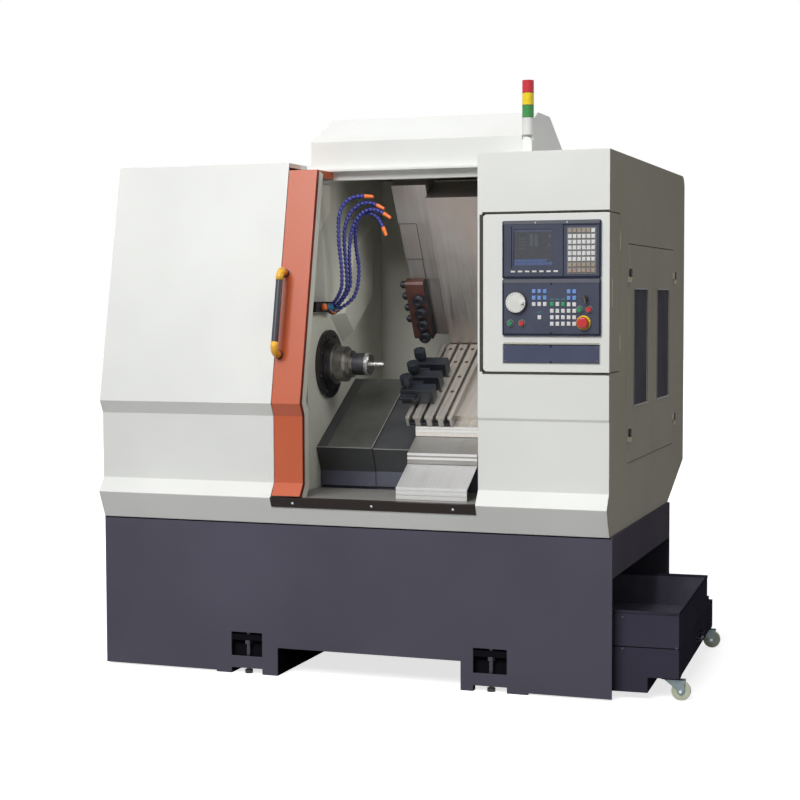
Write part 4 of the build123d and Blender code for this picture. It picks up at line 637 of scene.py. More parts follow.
# Stile: dark red strip on its inner flange as painted shade, and the flange's pale seal
stile_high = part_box("door_stile")[1]
STILE_LINE = ((-35, 101), (-6, 143), (-6, 376), (-29, 420), (144, 1233))
FLANGE_START, FLANGE_EDGE, FLANGE_DEPTH, FLANGE_SKIN = 2, 18, 55, 1.0


def inward_at(corners, index):
    """Way into the flange at a corner, long enough to keep the strip's width on both runs."""
    ways = []
    for first in (index - 1, index):
        if 0 <= first < len(corners) - 1:
            run = corners[first + 1] - corners[first]
            ways.append(Vector((0, run.z, -run.y)).normalized())
    middle = (ways[0] + ways[-1]).normalized()
    return middle / middle.dot(ways[0])


def flange_strip(name, depths, material):
    """Strip along the flange between two depths behind the stile's front."""
    corners = [above_base(0, y, z) for y, z in STILE_LINE]
    section = ((0, depths[0]), (FLANGE_SKIN, depths[0]), (FLANGE_SKIN, depths[1]), (0, depths[1]))

    def build(shape):
        rings = []
        for index, corner in enumerate(corners):
            place, inward = Vector((stile_high.x, corner.y, corner.z)), inward_at(corners, index)
            rings.append([shape.verts.new(place + (RIGHT * out + inward * depth) * MM)
                          for out, depth in section])
        skin(shape, rings)
    piece(name, build, material, "door")


flange_strip("stile_flange_shade", (FLANGE_START, FLANGE_EDGE), ORANGE_FLANGE_SHADE)
flange_strip("stile_seal", (FLANGE_EDGE, FLANGE_DEPTH), INNER)

# Base: painted shade in the foot windows (dark plates behind them and dark covers over the screw brackets),
# on the inner sides of the feet, and as a painted shadow line in the joint under the skirt
WINDOW_XS, SHADE_PLATE_HALF, SHADE_PLATE_Y, SHADE_PLATE_Z = (-375, 517.25), 95, (25.5, 27), (40, 190)
SHADE_COVER_HALF, SHADE_COVER_Y, SHADE_COVER_Z = 58.4, (5.2, 25.5), (117.4, 138.6)
FOOT_SIDES, SIDE_SHEET, PLATE_BACK = ((-257, 1020, 99), (-434, 170, 20), (458.25, 27, 20)), 1.5, 6
JOINT_IN, JOINT_HEIGHT, JOINT_OUT = 4 * MM, 4 * MM, 0.6 * MM
BASE_BOXES = {
    "window_shade_plates": [span_corners((x - SHADE_PLATE_HALF, x + SHADE_PLATE_HALF), SHADE_PLATE_Y, SHADE_PLATE_Z) for x in WINDOW_XS],
    "bracket_shade_covers": [span_corners((x - SHADE_COVER_HALF, x + SHADE_COVER_HALF), SHADE_COVER_Y, SHADE_COVER_Z) for x in WINDOW_XS],
    "foot_side_shades": [span_corners((x - SIDE_SHEET, x), (PLATE_BACK, back), (0, top))
                   for x, back, top in FOOT_SIDES],
    "skirt_joint_shadow": [((base_low.x + JOINT_IN, FRONT_Y - JOINT_OUT, BASE_TOP - JOINT_HEIGHT),
                     (base_high.x - JOINT_IN, FRONT_Y, BASE_TOP))],
}
for name, rows in BASE_BOXES.items():
    repeat(name, add_box, rows, BASE_DARK, "machine")

# Dull plate on the deck behind the sill strip, and the strip's screws
DECK_X, DECK_Y, DECK_RISE = (-224, 476), (-15, 325), (93, 93.15)
SILL_SCREW_XS, SILL_SCREW_Y, SILL_SCREW_RISE = (-180, 110, 400), -38.4, 78
SILL_OUT = Vector((0, -0.911, -0.41))
repeat("sill_plate", add_box, [span_corners(DECK_X, DECK_Y, DECK_RISE, above_base)], SILL, "machine")
screws("sill_screws", [above_base(x, SILL_SCREW_Y, SILL_SCREW_RISE) for x in SILL_SCREW_XS],
       SILL_OUT, ZINC, "machine", 4.5, 2.5)

# Operator panel
display_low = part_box("display_unit")[0]
operator_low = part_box("operator_unit")[0]


def on_unit(low, across, up, out=0.0):
    """Point on a unit's face by its distances from the unit's left and bottom edges."""
    return Vector((low.x + across * MM, UNIT_Y - out * MM, low.z + up * MM))


def add_plate(shape, low, across, up, width, height, out, thickness):
    """Thin plate on a unit's face."""
    corner = on_unit(low, across, up, out)
    add_box(shape, corner, corner + Vector((width, thickness, height)) * MM)


def add_key(shape, centre, width, height, rise):
    """Key cap with a sloped edge."""
    rings = []
    for out, inset in ((0.0, 0.0), (rise * KEY_SHOULDER, 0.0), (rise, KEY_INSET)):
        half = (width / 2 - inset, height / 2 - inset)
        rings.append([shape.verts.new(centre + Vector((x * half[0], -out, z * half[1])) * MM)
                      for x, z in ((-1, -1), (1, -1), (1, 1), (-1, 1))])
    skin(shape, rings)


KEY_RISE, KEY_WIDTH, KEY_SHOULDER, KEY_INSET = 2.6, 12.2, 0.6, 0.9
KEYPAD_CORNER, KEYPAD_PITCH = (220, 16), (15.4, 18.4)
KEYPAD_ROWS = ("TRTTRT", "TTRTTT", "WWWWWW", "WWWWWW", "WWWWWW", "WWWWWW", "WWWWWW", "TTTTTW")
BLOCK_PITCH = (18.5, 21.0)
KEY_BLOCKS = (
    ((98, 93), ("WWW", "BBB", "BBB")),
    ((159, 93), ("GWG",)),
    ((159, 29), ("WWW", "WWW", "WWW")),
    ((215, 29), ("WW", "WW", "WW", "WW", "BB", "BB")),
    ((117, 50), ("W",)),
)
KEY_MATERIALS = {"W": KEY_WHITE, "T": KEY_TAN, "R": KEY_RED, "B": KEY_BLUE, "G": KEY_GREEN}
SOFT_KEYS, SOFT_CORNER, SOFT_PITCH, SOFT_SIZE = 7, (25, 23), 24, (15, 6)


def key_centres(low, corner, pitch, rows, letter):
    """Centres of the keys of one colour in a block whose rows are written from the bottom."""
    found = []
    for row, letters in enumerate(rows):
        for column, key in enumerate(letters):
            if key == letter:
                found.append(on_unit(low, corner[0] + pitch[0] * (column + 0.5),
                                     corner[1] + pitch[1] * (row + 0.5)))
    return found


def key_caps(name, low, blocks, pitch, letter):
    def build(shape):
        for corner, rows in blocks:
            for centre in key_centres(low, corner, pitch, rows, letter):
                add_key(shape, centre, KEY_WIDTH, KEY_WIDTH + 1, KEY_RISE)
    piece(name, build, KEY_MATERIALS[letter], "panel")


for letter, colour in (("W", "white"), ("T", "tan"), ("R", "red")):
    key_caps(f"display_keys_{colour}", display_low, [(KEYPAD_CORNER, KEYPAD_ROWS)], KEYPAD_PITCH, letter)
for letter, colour in (("W", "white"), ("B", "blue"), ("G", "green")):
    key_caps(f"operator_keys_{colour}", operator_low, KEY_BLOCKS, BLOCK_PITCH, letter)


def build_soft_keys(shape):
    for step in range(SOFT_KEYS):
        add_key(shape, on_unit(display_low, SOFT_CORNER[0] + SOFT_PITCH * (step + 0.5), SOFT_CORNER[1]),
                *SOFT_SIZE, KEY_RISE)


piece("soft_keys", build_soft_keys, KEY_WHITE, "panel")

# Dim lamp windows over the coloured keys and the single key
LAMP_SIZE, LAMP_PLACES, FLAT = (13, 5), ((162, 117), (180, 117), (199, 117), (120, 75)), (0.3, 0.8)
repeat("key_lamps", add_plate, [(operator_low, *place, *LAMP_SIZE, *FLAT) for place in LAMP_PLACES],
       KEY_LAMP, "panel")

# Screen: left, bottom, width and height of each field on the display unit's face
SCREEN_BACK = -3.4
SCREEN_FIELDS = {
    "screen_field": (SCREEN, ((39, 43, 130, 118),), 0.4),
    "screen_head_bar": (SCREEN_HEAD, ((40, 152, 128, 7),), 0.8),
    "screen_foot_bar": (SCREEN_FOOT, ((40, 44, 128, 9), (40, 54, 110, 9)), 0.8),
    "screen_marks": (SCREEN_MARK, ((92, 104, 12, 40), (108, 104, 12, 40), (56, 128, 20, 3), (56, 118, 20, 3),
                                   (56, 108, 20, 3), (56, 98, 20, 3), (154, 132, 10, 10),
                                   (154, 104, 10, 8)), 0.8),
}

for name, (material, fields, thickness) in SCREEN_FIELDS.items():
    rows = [(display_low, *field, SCREEN_BACK + thickness, thickness) for field in fields]
    repeat(name, add_plate, rows, material, "panel")

# Dark grooves, dark strips along the units' left, right and bottom edges as painted shade, lighter edge
# strips and screws of the two units, and the ground under the keypad
GROOVES_AND_EDGE_SHADE = (
    (display_low, 204, 8, 3, 173, 0.5, 0.9),
    (display_low, 30, 34, 3, 136, 0.5, 0.9),
    (display_low, 204, 172, 118, 3, 0.5, 0.9),
    (display_low, 3, 1.5, 324, 6, 0.6, 1.0),
    (display_low, 1, 4, 5, 181, 0.4, 0.8),
    (display_low, 324, 4, 5, 181, 0.4, 0.8),
    (operator_low, 3, 1.5, 324, 6, 0.6, 1.0),
    (operator_low, 1, 4, 5, 178, 0.4, 0.8),
    (operator_low, 324, 4, 5, 178, 0.4, 0.8),
)
STRIPS = ((display_low, 4, 177, 322, 10, 1.2, 1.6), (operator_low, 4, 172, 322, 12, 1.0, 1.4))
KEY_FIELD = (display_low, 218, 14, 97, 151, *FLAT)
DISPLAY_SCREWS, OPERATOR_SCREWS = ((112, 182, 1.2), (218, 182, 1.2)), ((165, 9, 0.5), (165, 170, 0.5))
repeat("unit_grooves_and_edge_shade", add_plate, GROOVES_AND_EDGE_SHADE, UNIT_DARK, "panel")
repeat("unit_strips", add_plate, STRIPS, UNIT_STRIP, "panel")
screws("unit_screws", [on_unit(display_low, *place) for place in DISPLAY_SCREWS],
       FORWARD, ZINC, "panel", 2.2, 1.4)
screws("unit_dark_screws", [on_unit(operator_low, *place) for place in OPERATOR_SCREWS],
       FORWARD, UNIT_DARK, "panel", 3.0, 1.6)
repeat("key_ground", add_plate, [KEY_FIELD], KEY_GROUND, "panel")

# Handwheel's dial with its dark rim as painted shade round the knob, selector's lever, button collars, stop
# ring
DIAL_PLACE, DIAL_FACE, DIAL_MARKS = (49, 109), 15.4, 20
DIAL_PROFILE = ((1, 34.6), (13.2, 34.2), (14.6, 33.4), (14.6, 32.2), (1, 30))
MARK_START, MARK_LENGTH, MARK_RADIUS = 27 * MM, 4 * MM, 0.55 * MM
SELECTOR_PLACE, SELECTOR_OUT, SELECTOR_BACK = (278, 123), 16, 8 * MM
SELECTOR_WAY = (RIGHT * 0.35 - UP + FORWARD * 0.25).normalized()
SELECTOR_PROFILE = ((0, 3), (2, 4.6), (16, 4.6), (28, 3.4), (30, 2))
BUTTON_PLACES = ((28, 41), (67, 41), (261, 86), (292, 86))
COLLAR_PROFILE = ((0, 12.4), (2.4, 12.4), (3.4, 11.4), (3.4, 9.2), (0, 9.2))
STOP_PLACE, STOP_PROFILE = (274, 43), ((0, 23.5), (4, 23.5), (5.2, 22), (5.2, 9), (0, 9))


def build_dial_marks(shape):
    centre = on_unit(operator_low, *DIAL_PLACE, DIAL_FACE)
    for step in range(DIAL_MARKS):
        angle = 2 * math.pi * step / DIAL_MARKS
        way = RIGHT * math.cos(angle) + UP * math.sin(angle)
        add_rod(shape, centre + way * MARK_START, way, MARK_RADIUS, MARK_LENGTH, sides=6)


selector_start = on_unit(operator_low, *SELECTOR_PLACE, SELECTOR_OUT) - SELECTOR_WAY * SELECTOR_BACK
repeat("dial_shade_rim", hollow_turned, [(on_unit(operator_low, *DIAL_PLACE), FORWARD, DIAL_PROFILE, 48)],
       DIAL_RIM_SHADE_AND_MARKS, "handwheel")
piece("dial_marks", build_dial_marks, DIAL_RIM_SHADE_AND_MARKS, "handwheel")
repeat("selector_lever", add_turned, [(selector_start, SELECTOR_WAY, SELECTOR_PROFILE, 16)],
       LEVER_BROWN, "selector", True)
repeat("button_collars", hollow_turned,
       [(on_unit(operator_low, *place), FORWARD, COLLAR_PROFILE) for place in BUTTON_PLACES], COLLAR, "panel")
repeat("stop_ring", hollow_turned, [(on_unit(operator_low, *STOP_PLACE), FORWARD, STOP_PROFILE)],
       STOP_YELLOW, "panel")

# Blank plate: corner screws, two small tabs and a light grey frame round it, painted shade of its sunk edge
# and deeper along the top
blank_low, blank_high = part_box("blank_plate")
BLANK_SCREW_IN, BLANK_FRAME, BLANK_SHADE, FRAME_OUT = 7 * MM, 3 * MM, 9 * MM, 1.2 * MM
TAB_IN, TAB_RADIUS, TAB_TIP, TAB_RISE = 3 * MM, 4 * MM, 3.2 * MM, 1.2 * MM
blank_points = [Vector((x, blank_low.y, z))
                for x in (blank_low.x + BLANK_SCREW_IN, blank_high.x - BLANK_SCREW_IN)
                for z in (blank_low.z + BLANK_SCREW_IN, blank_high.z - BLANK_SCREW_IN)]
screws("blank_screws", blank_points, FORWARD, COLLAR, "panel", 2.4, 1.4)
tab_x = (blank_low.x + blank_high.x) / 2
repeat("blank_tabs", add_rod, [(Vector((tab_x, blank_low.y, z)), FORWARD, TAB_RADIUS, TAB_RISE, TAB_TIP, 20)
                               for z in (blank_low.z + TAB_IN, blank_high.z - TAB_IN)], UNIT_DARK, "panel")


def add_frame(shape, face, across_span, z_span, width, thickness, axis):
    """Flat frame round an opening; axis is the one that the face looks along."""
    low_a, high_a = across_span
    low_z, high_z = z_span
    for a_part, z_part in (
        ((low_a - width, high_a + width), (high_z, high_z + width)),
        ((low_a - width, high_a + width), (low_z - width, low_z)),
        ((low_a - width, low_a), z_span),
        ((high_a, high_a + width), z_span),
    ):
        if axis == "X":
            add_box(shape, (face, a_part[0], z_part[0]), (face + thickness, a_part[1], z_part[1]))
        else:
            add_box(shape, (a_part[0], face - thickness, z_part[0]), (a_part[1], face, z_part[1]))


def build_blank_recess_shade(shape):
    add_frame(shape, PANEL_Y, (blank_low.x, blank_high.x), (blank_low.z, blank_high.z), BLANK_FRAME,
              FRAME_OUT, "Y")
    add_box(shape, (blank_low.x, PANEL_Y - FRAME_OUT, blank_high.z),
            (blank_high.x, PANEL_Y, blank_high.z + BLANK_SHADE))


piece("blank_recess_shade", build_blank_recess_shade, RECESS_SHADE_GREY, "panel")

# Dark strips in the gap round the panel door's opening: painted shade of the recess
panel_low, panel_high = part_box("panel_box")
PANEL_GAP, GAP_SHADE_SIDE, GAP_SHADE_END, GAP_SHADE_OUT = 3 * MM, 9 * MM, 5 * MM, 0.8 * MM
gap_shade_left, gap_shade_y = panel_low.x - PANEL_GAP, (PANEL_Y - GAP_SHADE_OUT, PANEL_Y + GAP_SHADE_OUT)
gap_shade_boxes = [((gap_shade_left - GAP_SHADE_SIDE, gap_shade_y[0], panel_low.z), (gap_shade_left, gap_shade_y[1], panel_high.z))]
for z in (panel_low.z - PANEL_GAP - GAP_SHADE_END, panel_high.z + PANEL_GAP):
    gap_shade_boxes.append(((gap_shade_left, gap_shade_y[0], z), (RIGHT_X, gap_shade_y[1], z + GAP_SHADE_END)))
repeat("panel_gap_shade", add_box, gap_shade_boxes, GAP_SHADE, "machine")

# Cabinet doors: dark panes with a thin rubber frame, black hinges
LEAF_WIDTH, WINDOW_WIDTH, WINDOW_UPS = 416 * MM, 236 * MM, (191 * MM, 590 * MM)
LEAF_PROUD = 2 * MM
LEAF_FACE_X = RIGHT_X + LEAF_PROUD
PANE_DEPTH, PANE_THICKNESS, PANE_INSET = 4 * MM, 1.6 * MM, 1 * MM
PANE_FRAME, PANE_FRAME_OUT = 5 * MM, 1.5 * MM
HINGE_UPS, HINGE_OUT, HINGE_RADIUS, HINGE_LENGTH = (90 * MM, 632 * MM), 9 * MM, 5.8 * MM, 27 * MM


def cabinet_pieces(leaf, left_y, hinge_y):
    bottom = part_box(leaf)[0].z
    middle = left_y + LEAF_WIDTH / 2
    y_span = (middle - WINDOW_WIDTH / 2, middle + WINDOW_WIDTH / 2)
    z_span = (bottom + WINDOW_UPS[0], bottom + WINDOW_UPS[1])
    pane_x = LEAF_FACE_X - PANE_DEPTH
    pane = ((pane_x, y_span[0] + PANE_INSET, z_span[0] + PANE_INSET),
            (pane_x + PANE_THICKNESS, y_span[1] - PANE_INSET, z_span[1] - PANE_INSET))
    hinges = [(Vector((RIGHT_X + HINGE_OUT, hinge_y, bottom + up)), UP, HINGE_RADIUS, HINGE_LENGTH)
              for up in HINGE_UPS]
    repeat(leaf + "_pane", add_box, [pane], PANE, leaf)
    repeat(leaf + "_frame", add_frame, [(LEAF_FACE_X, y_span, z_span, PANE_FRAME, PANE_FRAME_OUT, "X")],
           RUBBER, leaf)
    repeat(leaf + "_hinges", add_rod, hinges, RUBBER, leaf, True)


front_leaf_y, rear_leaf_y = FRONT_Y + 285 * MM, FRONT_Y + 704 * MM
cabinet_pieces("cabinet_door_front", front_leaf_y, front_leaf_y)
cabinet_pieces("cabinet_door_rear", rear_leaf_y, rear_leaf_y + LEAF_WIDTH)

# Signal tower: dark rings between the lenses
TOWER_CENTRE = Vector(((tower_low.x + tower_high.x) / 2, (tower_low.y + tower_high.y) / 2, 0))
RING_DROP, TOWER_RING = 1.6 * MM, ((0, 19.2), (0.1, 20.3), (1.6, 20.3), (1.7, 19.2))
ring_heights = [tower_high.z - LENS * step - RING_DROP for step in range(1, 4)]
repeat("tower_rings", add_turned, [(TOWER_CENTRE + UP * rise, UP, TOWER_RING, 32) for rise in ring_heights],
       RUBBER, "signal_tower")

# Work space: painted highlights along the fold edges of the way covers, lips of the cover plates in a lighter
# steel as painted highlight, table holes, cap bolts
WALL_X, WAY_END_X, SADDLE_X, SADDLE_WIDTH = -225, -10, 165, 255
WAY_T, WAY_FRONT_S, WAY_BACK_S, FIRST_LEAF = -200, -252, 210, 40
FOLD, EDGE, EDGE_OUT = 4, 3, 0.4
PLATE_T, FOLD_T, LEAF_FOLD_T = (WAY_T, WAY_T + 0.6), (WAY_T, WAY_T + 0.8), (WAY_T - 5, WAY_T - 4.2)
WAY_PLATE = ((WALL_X + FIRST_LEAF, WAY_END_X - EDGE), (WAY_FRONT_S + FOLD, WAY_BACK_S), PLATE_T)
WAY_FOLD_HIGHLIGHTS = (((WAY_END_X - EDGE, WAY_END_X + EDGE_OUT), (WAY_FRONT_S, WAY_BACK_S), FOLD_T),
             ((WALL_X, WAY_END_X), (WAY_FRONT_S, WAY_FRONT_S + FOLD), FOLD_T))
LEAF_FOLD_HIGHLIGHT = ((WAY_END_X + 1, SADDLE_X - 1), (WAY_FRONT_S + EDGE, WAY_FRONT_S + EDGE + FOLD), LEAF_FOLD_T)
repeat("fixed_cover_plate", slant_box, [WAY_PLATE], LEAF, "machine")
repeat("fixed_cover_fold_highlights", slant_box, WAY_FOLD_HIGHLIGHTS, FOLD_HIGHLIGHT, "machine")
repeat("leaf_cover_fold_highlight", slant_box, [LEAF_FOLD_HIGHLIGHT], FOLD_HIGHLIGHT, "saddle")

LIP_TOP, LIP_THICKNESS = 4, 0.9
LIPS = (
    ("apron_lip", (-511, -177), 7, "saddle", ((14, 24), (28, 39))),
    ("middle_lip", (-352, -145), 6, "cover_middle", ((12, 20),)),
    ("upper_lip", (-230, -115), 6, "cross", ((10, 18),)),
)


def lip(name, edge, drop, body, steps):
    """Strip along a cover plate's front edge, and lower strips at the given drops, in a lighter steel that is
    painted highlight.
    """
    s, t = edge
    corner = on_slant(SADDLE_X, s, t)

    def build(shape):
        slant_box(shape, (SADDLE_X, SADDLE_X + SADDLE_WIDTH), (s, s + LIP_TOP), (t, t + LIP_THICKNESS))
        add_box(shape, corner - (UP * drop + BACK * LIP_THICKNESS) * MM, corner + RIGHT * SADDLE_WIDTH * MM)
        for top, bottom in steps:
            low = corner - (UP * bottom + BACK * LIP_THICKNESS) * MM
            add_box(shape, low, low + Vector((SADDLE_WIDTH, LIP_THICKNESS, bottom - top)) * MM)
    piece(name, build, LIP_HIGHLIGHT, body)


for row in LIPS:
    lip(*row)

TABLE_X, TABLE_T, SLOT_PITCH, HOLE_LANDS, HOLES_S = 132, -75, 43, (1, 2, 3), (-60, 40, 140, 230)
HOLE_PROFILE = ((0, 7), (0.5, 7), (0.5, 5), (0.1, 4.5))
hole_places = [on_slant(TABLE_X + SLOT_PITCH * land, s, TABLE_T) for land in HOLE_LANDS for s in HOLES_S]
repeat("table_holes", add_turned, [(place, SQUARE, HOLE_PROFILE, 20) for place in hole_places], HOLE, "cross")

# Front ends of the table's lands, with the slots running out between them
LANDS_S, LAND_T, LAND_FLOOR_T, FOOT_T, TABLE_END = (-228, -182), -75, -112, -85, 304
SLOT_HALF, FOOT_HALF = 6, 12


def build_lands(shape):
    middles = [TABLE_X + SLOT_PITCH * (slot + 0.5) for slot in range(4)]
    lefts, rights = [None] + middles, middles + [None]
    for left, right in zip(lefts, rights):
        for half, t_span in ((SLOT_HALF, (FOOT_T, LAND_T)), (FOOT_HALF, (LAND_FLOOR_T, FOOT_T))):
            x_span = (left + half if left else TABLE_X, right - half if right else TABLE_END)
            slant_box(shape, x_span, LANDS_S, t_span)


piece("table_lands", build_lands, TABLE, "cross")
# Black sheet at the bottom of the slots: painted shade in the slots
SLOT_SHADE = ((TABLE_X + 2, TABLE_END - 2), (LANDS_S[0] + 4, LANDS_S[1]), (LAND_FLOOR_T, LAND_FLOOR_T + 8))
repeat("slot_shade", slant_box, [SLOT_SHADE], BLACK, "cross")

# Milling head: black noses over its sleeves, and the seams of the cover leaves above it
NOSE_X, NOSE_S, NOSE_FIRST_T, NOSE_PITCH, NOSES = 72, 272, -40, 52, 4
NOSE_PROFILE = ((0, 20), (4, 23), (18, 23), (20, 21), (26, 21), (27.5, 19), (27.5, 10), (22, 8))
HEAD_SIDE_X, HEAD_S, HEAD_T = (96, 97.5), (276, 312), (-56, 180)
ARM_X, SEAM_X, LEAF_S, LEAF_STEP, LEAF_SEAM, SEAM_SKIN = 35, 102, 297, 3.3, 3, 0.2
UPPER_SEAM_T, MIDDLE_SEAM_T, LOWER_SEAM_T = (417, 420), (269, 416), (190, 268)


def seam(name, step, spans, body):
    """Dark joints on a leaf's front; each span is an X span and a height span."""
    s = LEAF_S + LEAF_STEP * step
    rows = [(x_span, (s - SEAM_SKIN, s), t_span) for x_span, t_span in spans]
    repeat(name, slant_box, rows, DARK_STEEL, body)


nose_places = [on_slant(NOSE_X, NOSE_S, NOSE_FIRST_T + NOSE_PITCH * step) for step in range(NOSES)]
nose_way = SLANT_AXES.to_3x3() @ FORWARD
repeat("head_noses", add_turned, [(place, nose_way, NOSE_PROFILE, 28) for place in nose_places],
       BLACK, "head")
repeat("head_side", slant_box, [(HEAD_SIDE_X, HEAD_S, HEAD_T)], BLACK, "head")
seam("upper_leaf_seam", 0, [((ARM_X + 2, SEAM_X), UPPER_SEAM_T)], "cross")
seam("middle_leaf_seam", 1, [((ARM_X + 4, SEAM_X), (MIDDLE_SEAM_T[0], MIDDLE_SEAM_T[0] + LEAF_SEAM)),
                             ((SEAM_X, SEAM_X + LEAF_SEAM), MIDDLE_SEAM_T)], "head_cover_middle")
seam("lower_leaf_seam", 2, [((SEAM_X - LEAF_SEAM, SEAM_X), LOWER_SEAM_T)], "head")

CAP_BOLTS, CAP_BOLT_RADIUS, CAP_FACE_X = 8, 108, -213


def around_spindle(x, radius, angle):
    """Point round the spindle's axis."""
    return Vector((MID_X + x * MM, SPINDLE_Y + math.cos(angle) * radius * MM,
                   SPINDLE_Z + math.sin(angle) * radius * MM))


screws("cap_bolts", [around_spindle(CAP_FACE_X, CAP_BOLT_RADIUS, 2 * math.pi * (step + 0.5) / CAP_BOLTS)
                     for step in range(CAP_BOLTS)], RIGHT, BLACK, "machine", 7.0, 6.0)

NOSE_RING_X, NOSE_RING = -72, ((0, 40.6), (1, 42), (13, 42), (14, 40.6), (14, 39), (0, 39))
SPINDLE_BANDS, BAND_CHAMFER, BAND_RISE, BAND_SUNK = ((-203, 75, 16), (-118, 40, 45)), 0.4, 0.5, 2
SET_HOLES, SET_HOLE_X, SET_HOLE_RADIUS, SET_HOLE_TURN = 4, -166, 64.8, 0.35
SET_HOLE = ((0, 6), (0.6, 6), (0.6, 4.5), (0, 4))


# Black discs in the set holes: painted shade in the holes
def build_set_hole_shades(shape):
    for step in range(SET_HOLES):
        angle = 2 * math.pi * step / SET_HOLES + SET_HOLE_TURN
        way = BACK * math.cos(angle) + UP * math.sin(angle)
        add_turned(shape, around_spindle(SET_HOLE_X, SET_HOLE_RADIUS, angle), way, SET_HOLE, 20)


def build_spindle_bands(shape):
    for x, radius, length in SPINDLE_BANDS:
        top = radius + BAND_RISE
        profile = ((0, radius), (BAND_CHAMFER, top), (length - BAND_CHAMFER, top), (length, radius),
                   (length / 2, radius - BAND_SUNK))
        hollow_turned(shape, around_spindle(x, 0, 0), RIGHT, profile, 48)


repeat("nose_ring", hollow_turned, [(around_spindle(NOSE_RING_X, 0, 0), RIGHT, NOSE_RING, 48)],
       BRIGHT, "spindle")
piece("spindle_bands", build_spindle_bands, DARK_STEEL, "spindle")
piece("set_hole_shades", build_set_hole_shades, RUBBER, "spindle")

# Chip cart: rim of the tray, bolts, pull and hub caps, in line with the cart
CART_YAW = math.radians(2.5)
CART_AXES = Matrix.Translation(at(1142, 58, 0)) @ Matrix.Rotation(CART_YAW, 4, "Z")
CART_LENGTH, CART_DEPTH, TRAY_DEPTH, TRAY_TOP = 560, 957, 782, 295
RIM_DROP, RIM_OUT = 9, 1.2
cart_way = CART_AXES.to_3x3() @ RIGHT
cart_back = CART_AXES.to_3x3() @ BACK


def on_cart(along, back, z):
    return CART_AXES @ Vector((along * MM, back * MM, z * MM))


def cart_box(shape, along, back, z_span):
    """Box in line with the cart, in millimetres."""
    low, high = zip(along, back, z_span)
    add_box(shape, [value * MM for value in low], [value * MM for value in high], CART_AXES)


# The tray's rim is painted a little darker than the cart: painted shade against the light from above
RIM_Z, RIM_ALONG = (TRAY_TOP - RIM_DROP, TRAY_TOP + 1), (-CART_LENGTH, RIM_OUT)
TRAY_RIM = ((RIM_ALONG, (-RIM_OUT, 0), RIM_Z), (RIM_ALONG, (TRAY_DEPTH, TRAY_DEPTH + RIM_OUT), RIM_Z),
            ((0, RIM_OUT), (0, TRAY_DEPTH), RIM_Z))
repeat("tray_rim", cart_box, TRAY_RIM, CART_RIM_SHADE, "cart")

# Dull inside of the tray: floor, left wall and rear wall, painted lighter than the tray as painted light
TRAY_WALL, LINING, LINING_Z, FLOOR_Z = 4, 0.5, (180, 286), (180, 180.5)
TRAY_ALONG, TRAY_BACK = (TRAY_WALL - CART_LENGTH, -TRAY_WALL), (TRAY_WALL, TRAY_DEPTH - TRAY_WALL)
TRAY_LIT_LINING = ((TRAY_ALONG, TRAY_BACK, FLOOR_Z),
               ((TRAY_ALONG[0], TRAY_ALONG[0] + LINING), TRAY_BACK, LINING_Z),
               (TRAY_ALONG, (TRAY_BACK[1] - LINING, TRAY_BACK[1]), LINING_Z))
repeat("tray_lit_lining", cart_box, TRAY_LIT_LINING, TRAY_INSIDE_LIT, "cart")
CART_BOLTS = ((-186, 0, 272), (-186, 0, 168), (-8, 0, 178))
screws("cart_bolts", [on_cart(*place) for place in CART_BOLTS],
       -cart_back, DARK_STEEL, "cart", 4.0, 3.0)

PULL_OUT, PULL_WIDTH, PULL_Z, PULL_SHARE, PULL_BEND, PULL_RADIUS = 16, 60, 122, 0.5, 8, 4.5
PULL_STEPS = 8
PULL_FOOT = ((0, 9), (1.5, 9), (2.5, 6))


def build_pull(shape):
    ends = (CART_DEPTH * PULL_SHARE - PULL_WIDTH / 2, CART_DEPTH * PULL_SHARE + PULL_WIDTH / 2)
    points = [(1, ends[0])]
    for end, turn in zip(ends, (-1, 1)):
        bend = []
        for step in range(PULL_STEPS + 1):
            angle = math.pi / 2 * step / PULL_STEPS
            bend.append((PULL_OUT - PULL_BEND + PULL_BEND * math.sin(angle),
                         end - turn * PULL_BEND + turn * PULL_BEND * math.cos(angle)))
        points += bend if turn < 0 else bend[::-1]
    points.append((1, ends[1]))
    add_tube(shape, [on_cart(along, back, PULL_Z) for along, back in points], PULL_RADIUS * MM, 16)
    for end in ends:
        add_turned(shape, on_cart(0, end, PULL_Z), cart_way, PULL_FOOT, 20)


TANK_SEAM = ((-CART_LENGTH + 8, 0), (-0.6, 0), (174, 177))
repeat("tank_seam", cart_box, [TANK_SEAM], BASE_DARK, "cart")
piece("cart_pull", build_pull, UNIT_DARK, "cart", smooth=True)

HUB_PROFILE, HUB_OUT = ((0, 15), (0.9, 15), (1.3, 13), (1.3, 8)), 9


def on_both_sides(name, centre, out, profile, sides, material, body):
    """The same turned cap on both ends of an axle."""
    rows = [(centre + way * out * MM, way, profile, sides) for way in (-cart_back, cart_back)]
    repeat(name, add_turned, rows, material, body)


for wheel in [name for name in nodes if name.startswith("caster_wheel")]:
    wheel_low, wheel_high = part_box(wheel)
    centre = (wheel_low + wheel_high) / 2
    on_both_sides(wheel + "_hub", centre, HUB_OUT, HUB_PROFILE, 28, FORK, wheel)

# Swivel forks: broad cheeks outside the wheels, and the axles' nuts
CHEEK_CORNERS = ((-54, 37), (14, 37), (12, 8), (5, -8), (-5, -8), (-14, 6))
CHEEK_OUT, CHEEK_THICKNESS = 14.6, 1.6
NUT_PROFILE = ((0, 6), (4, 6), (5, 5), (5, 2.5))


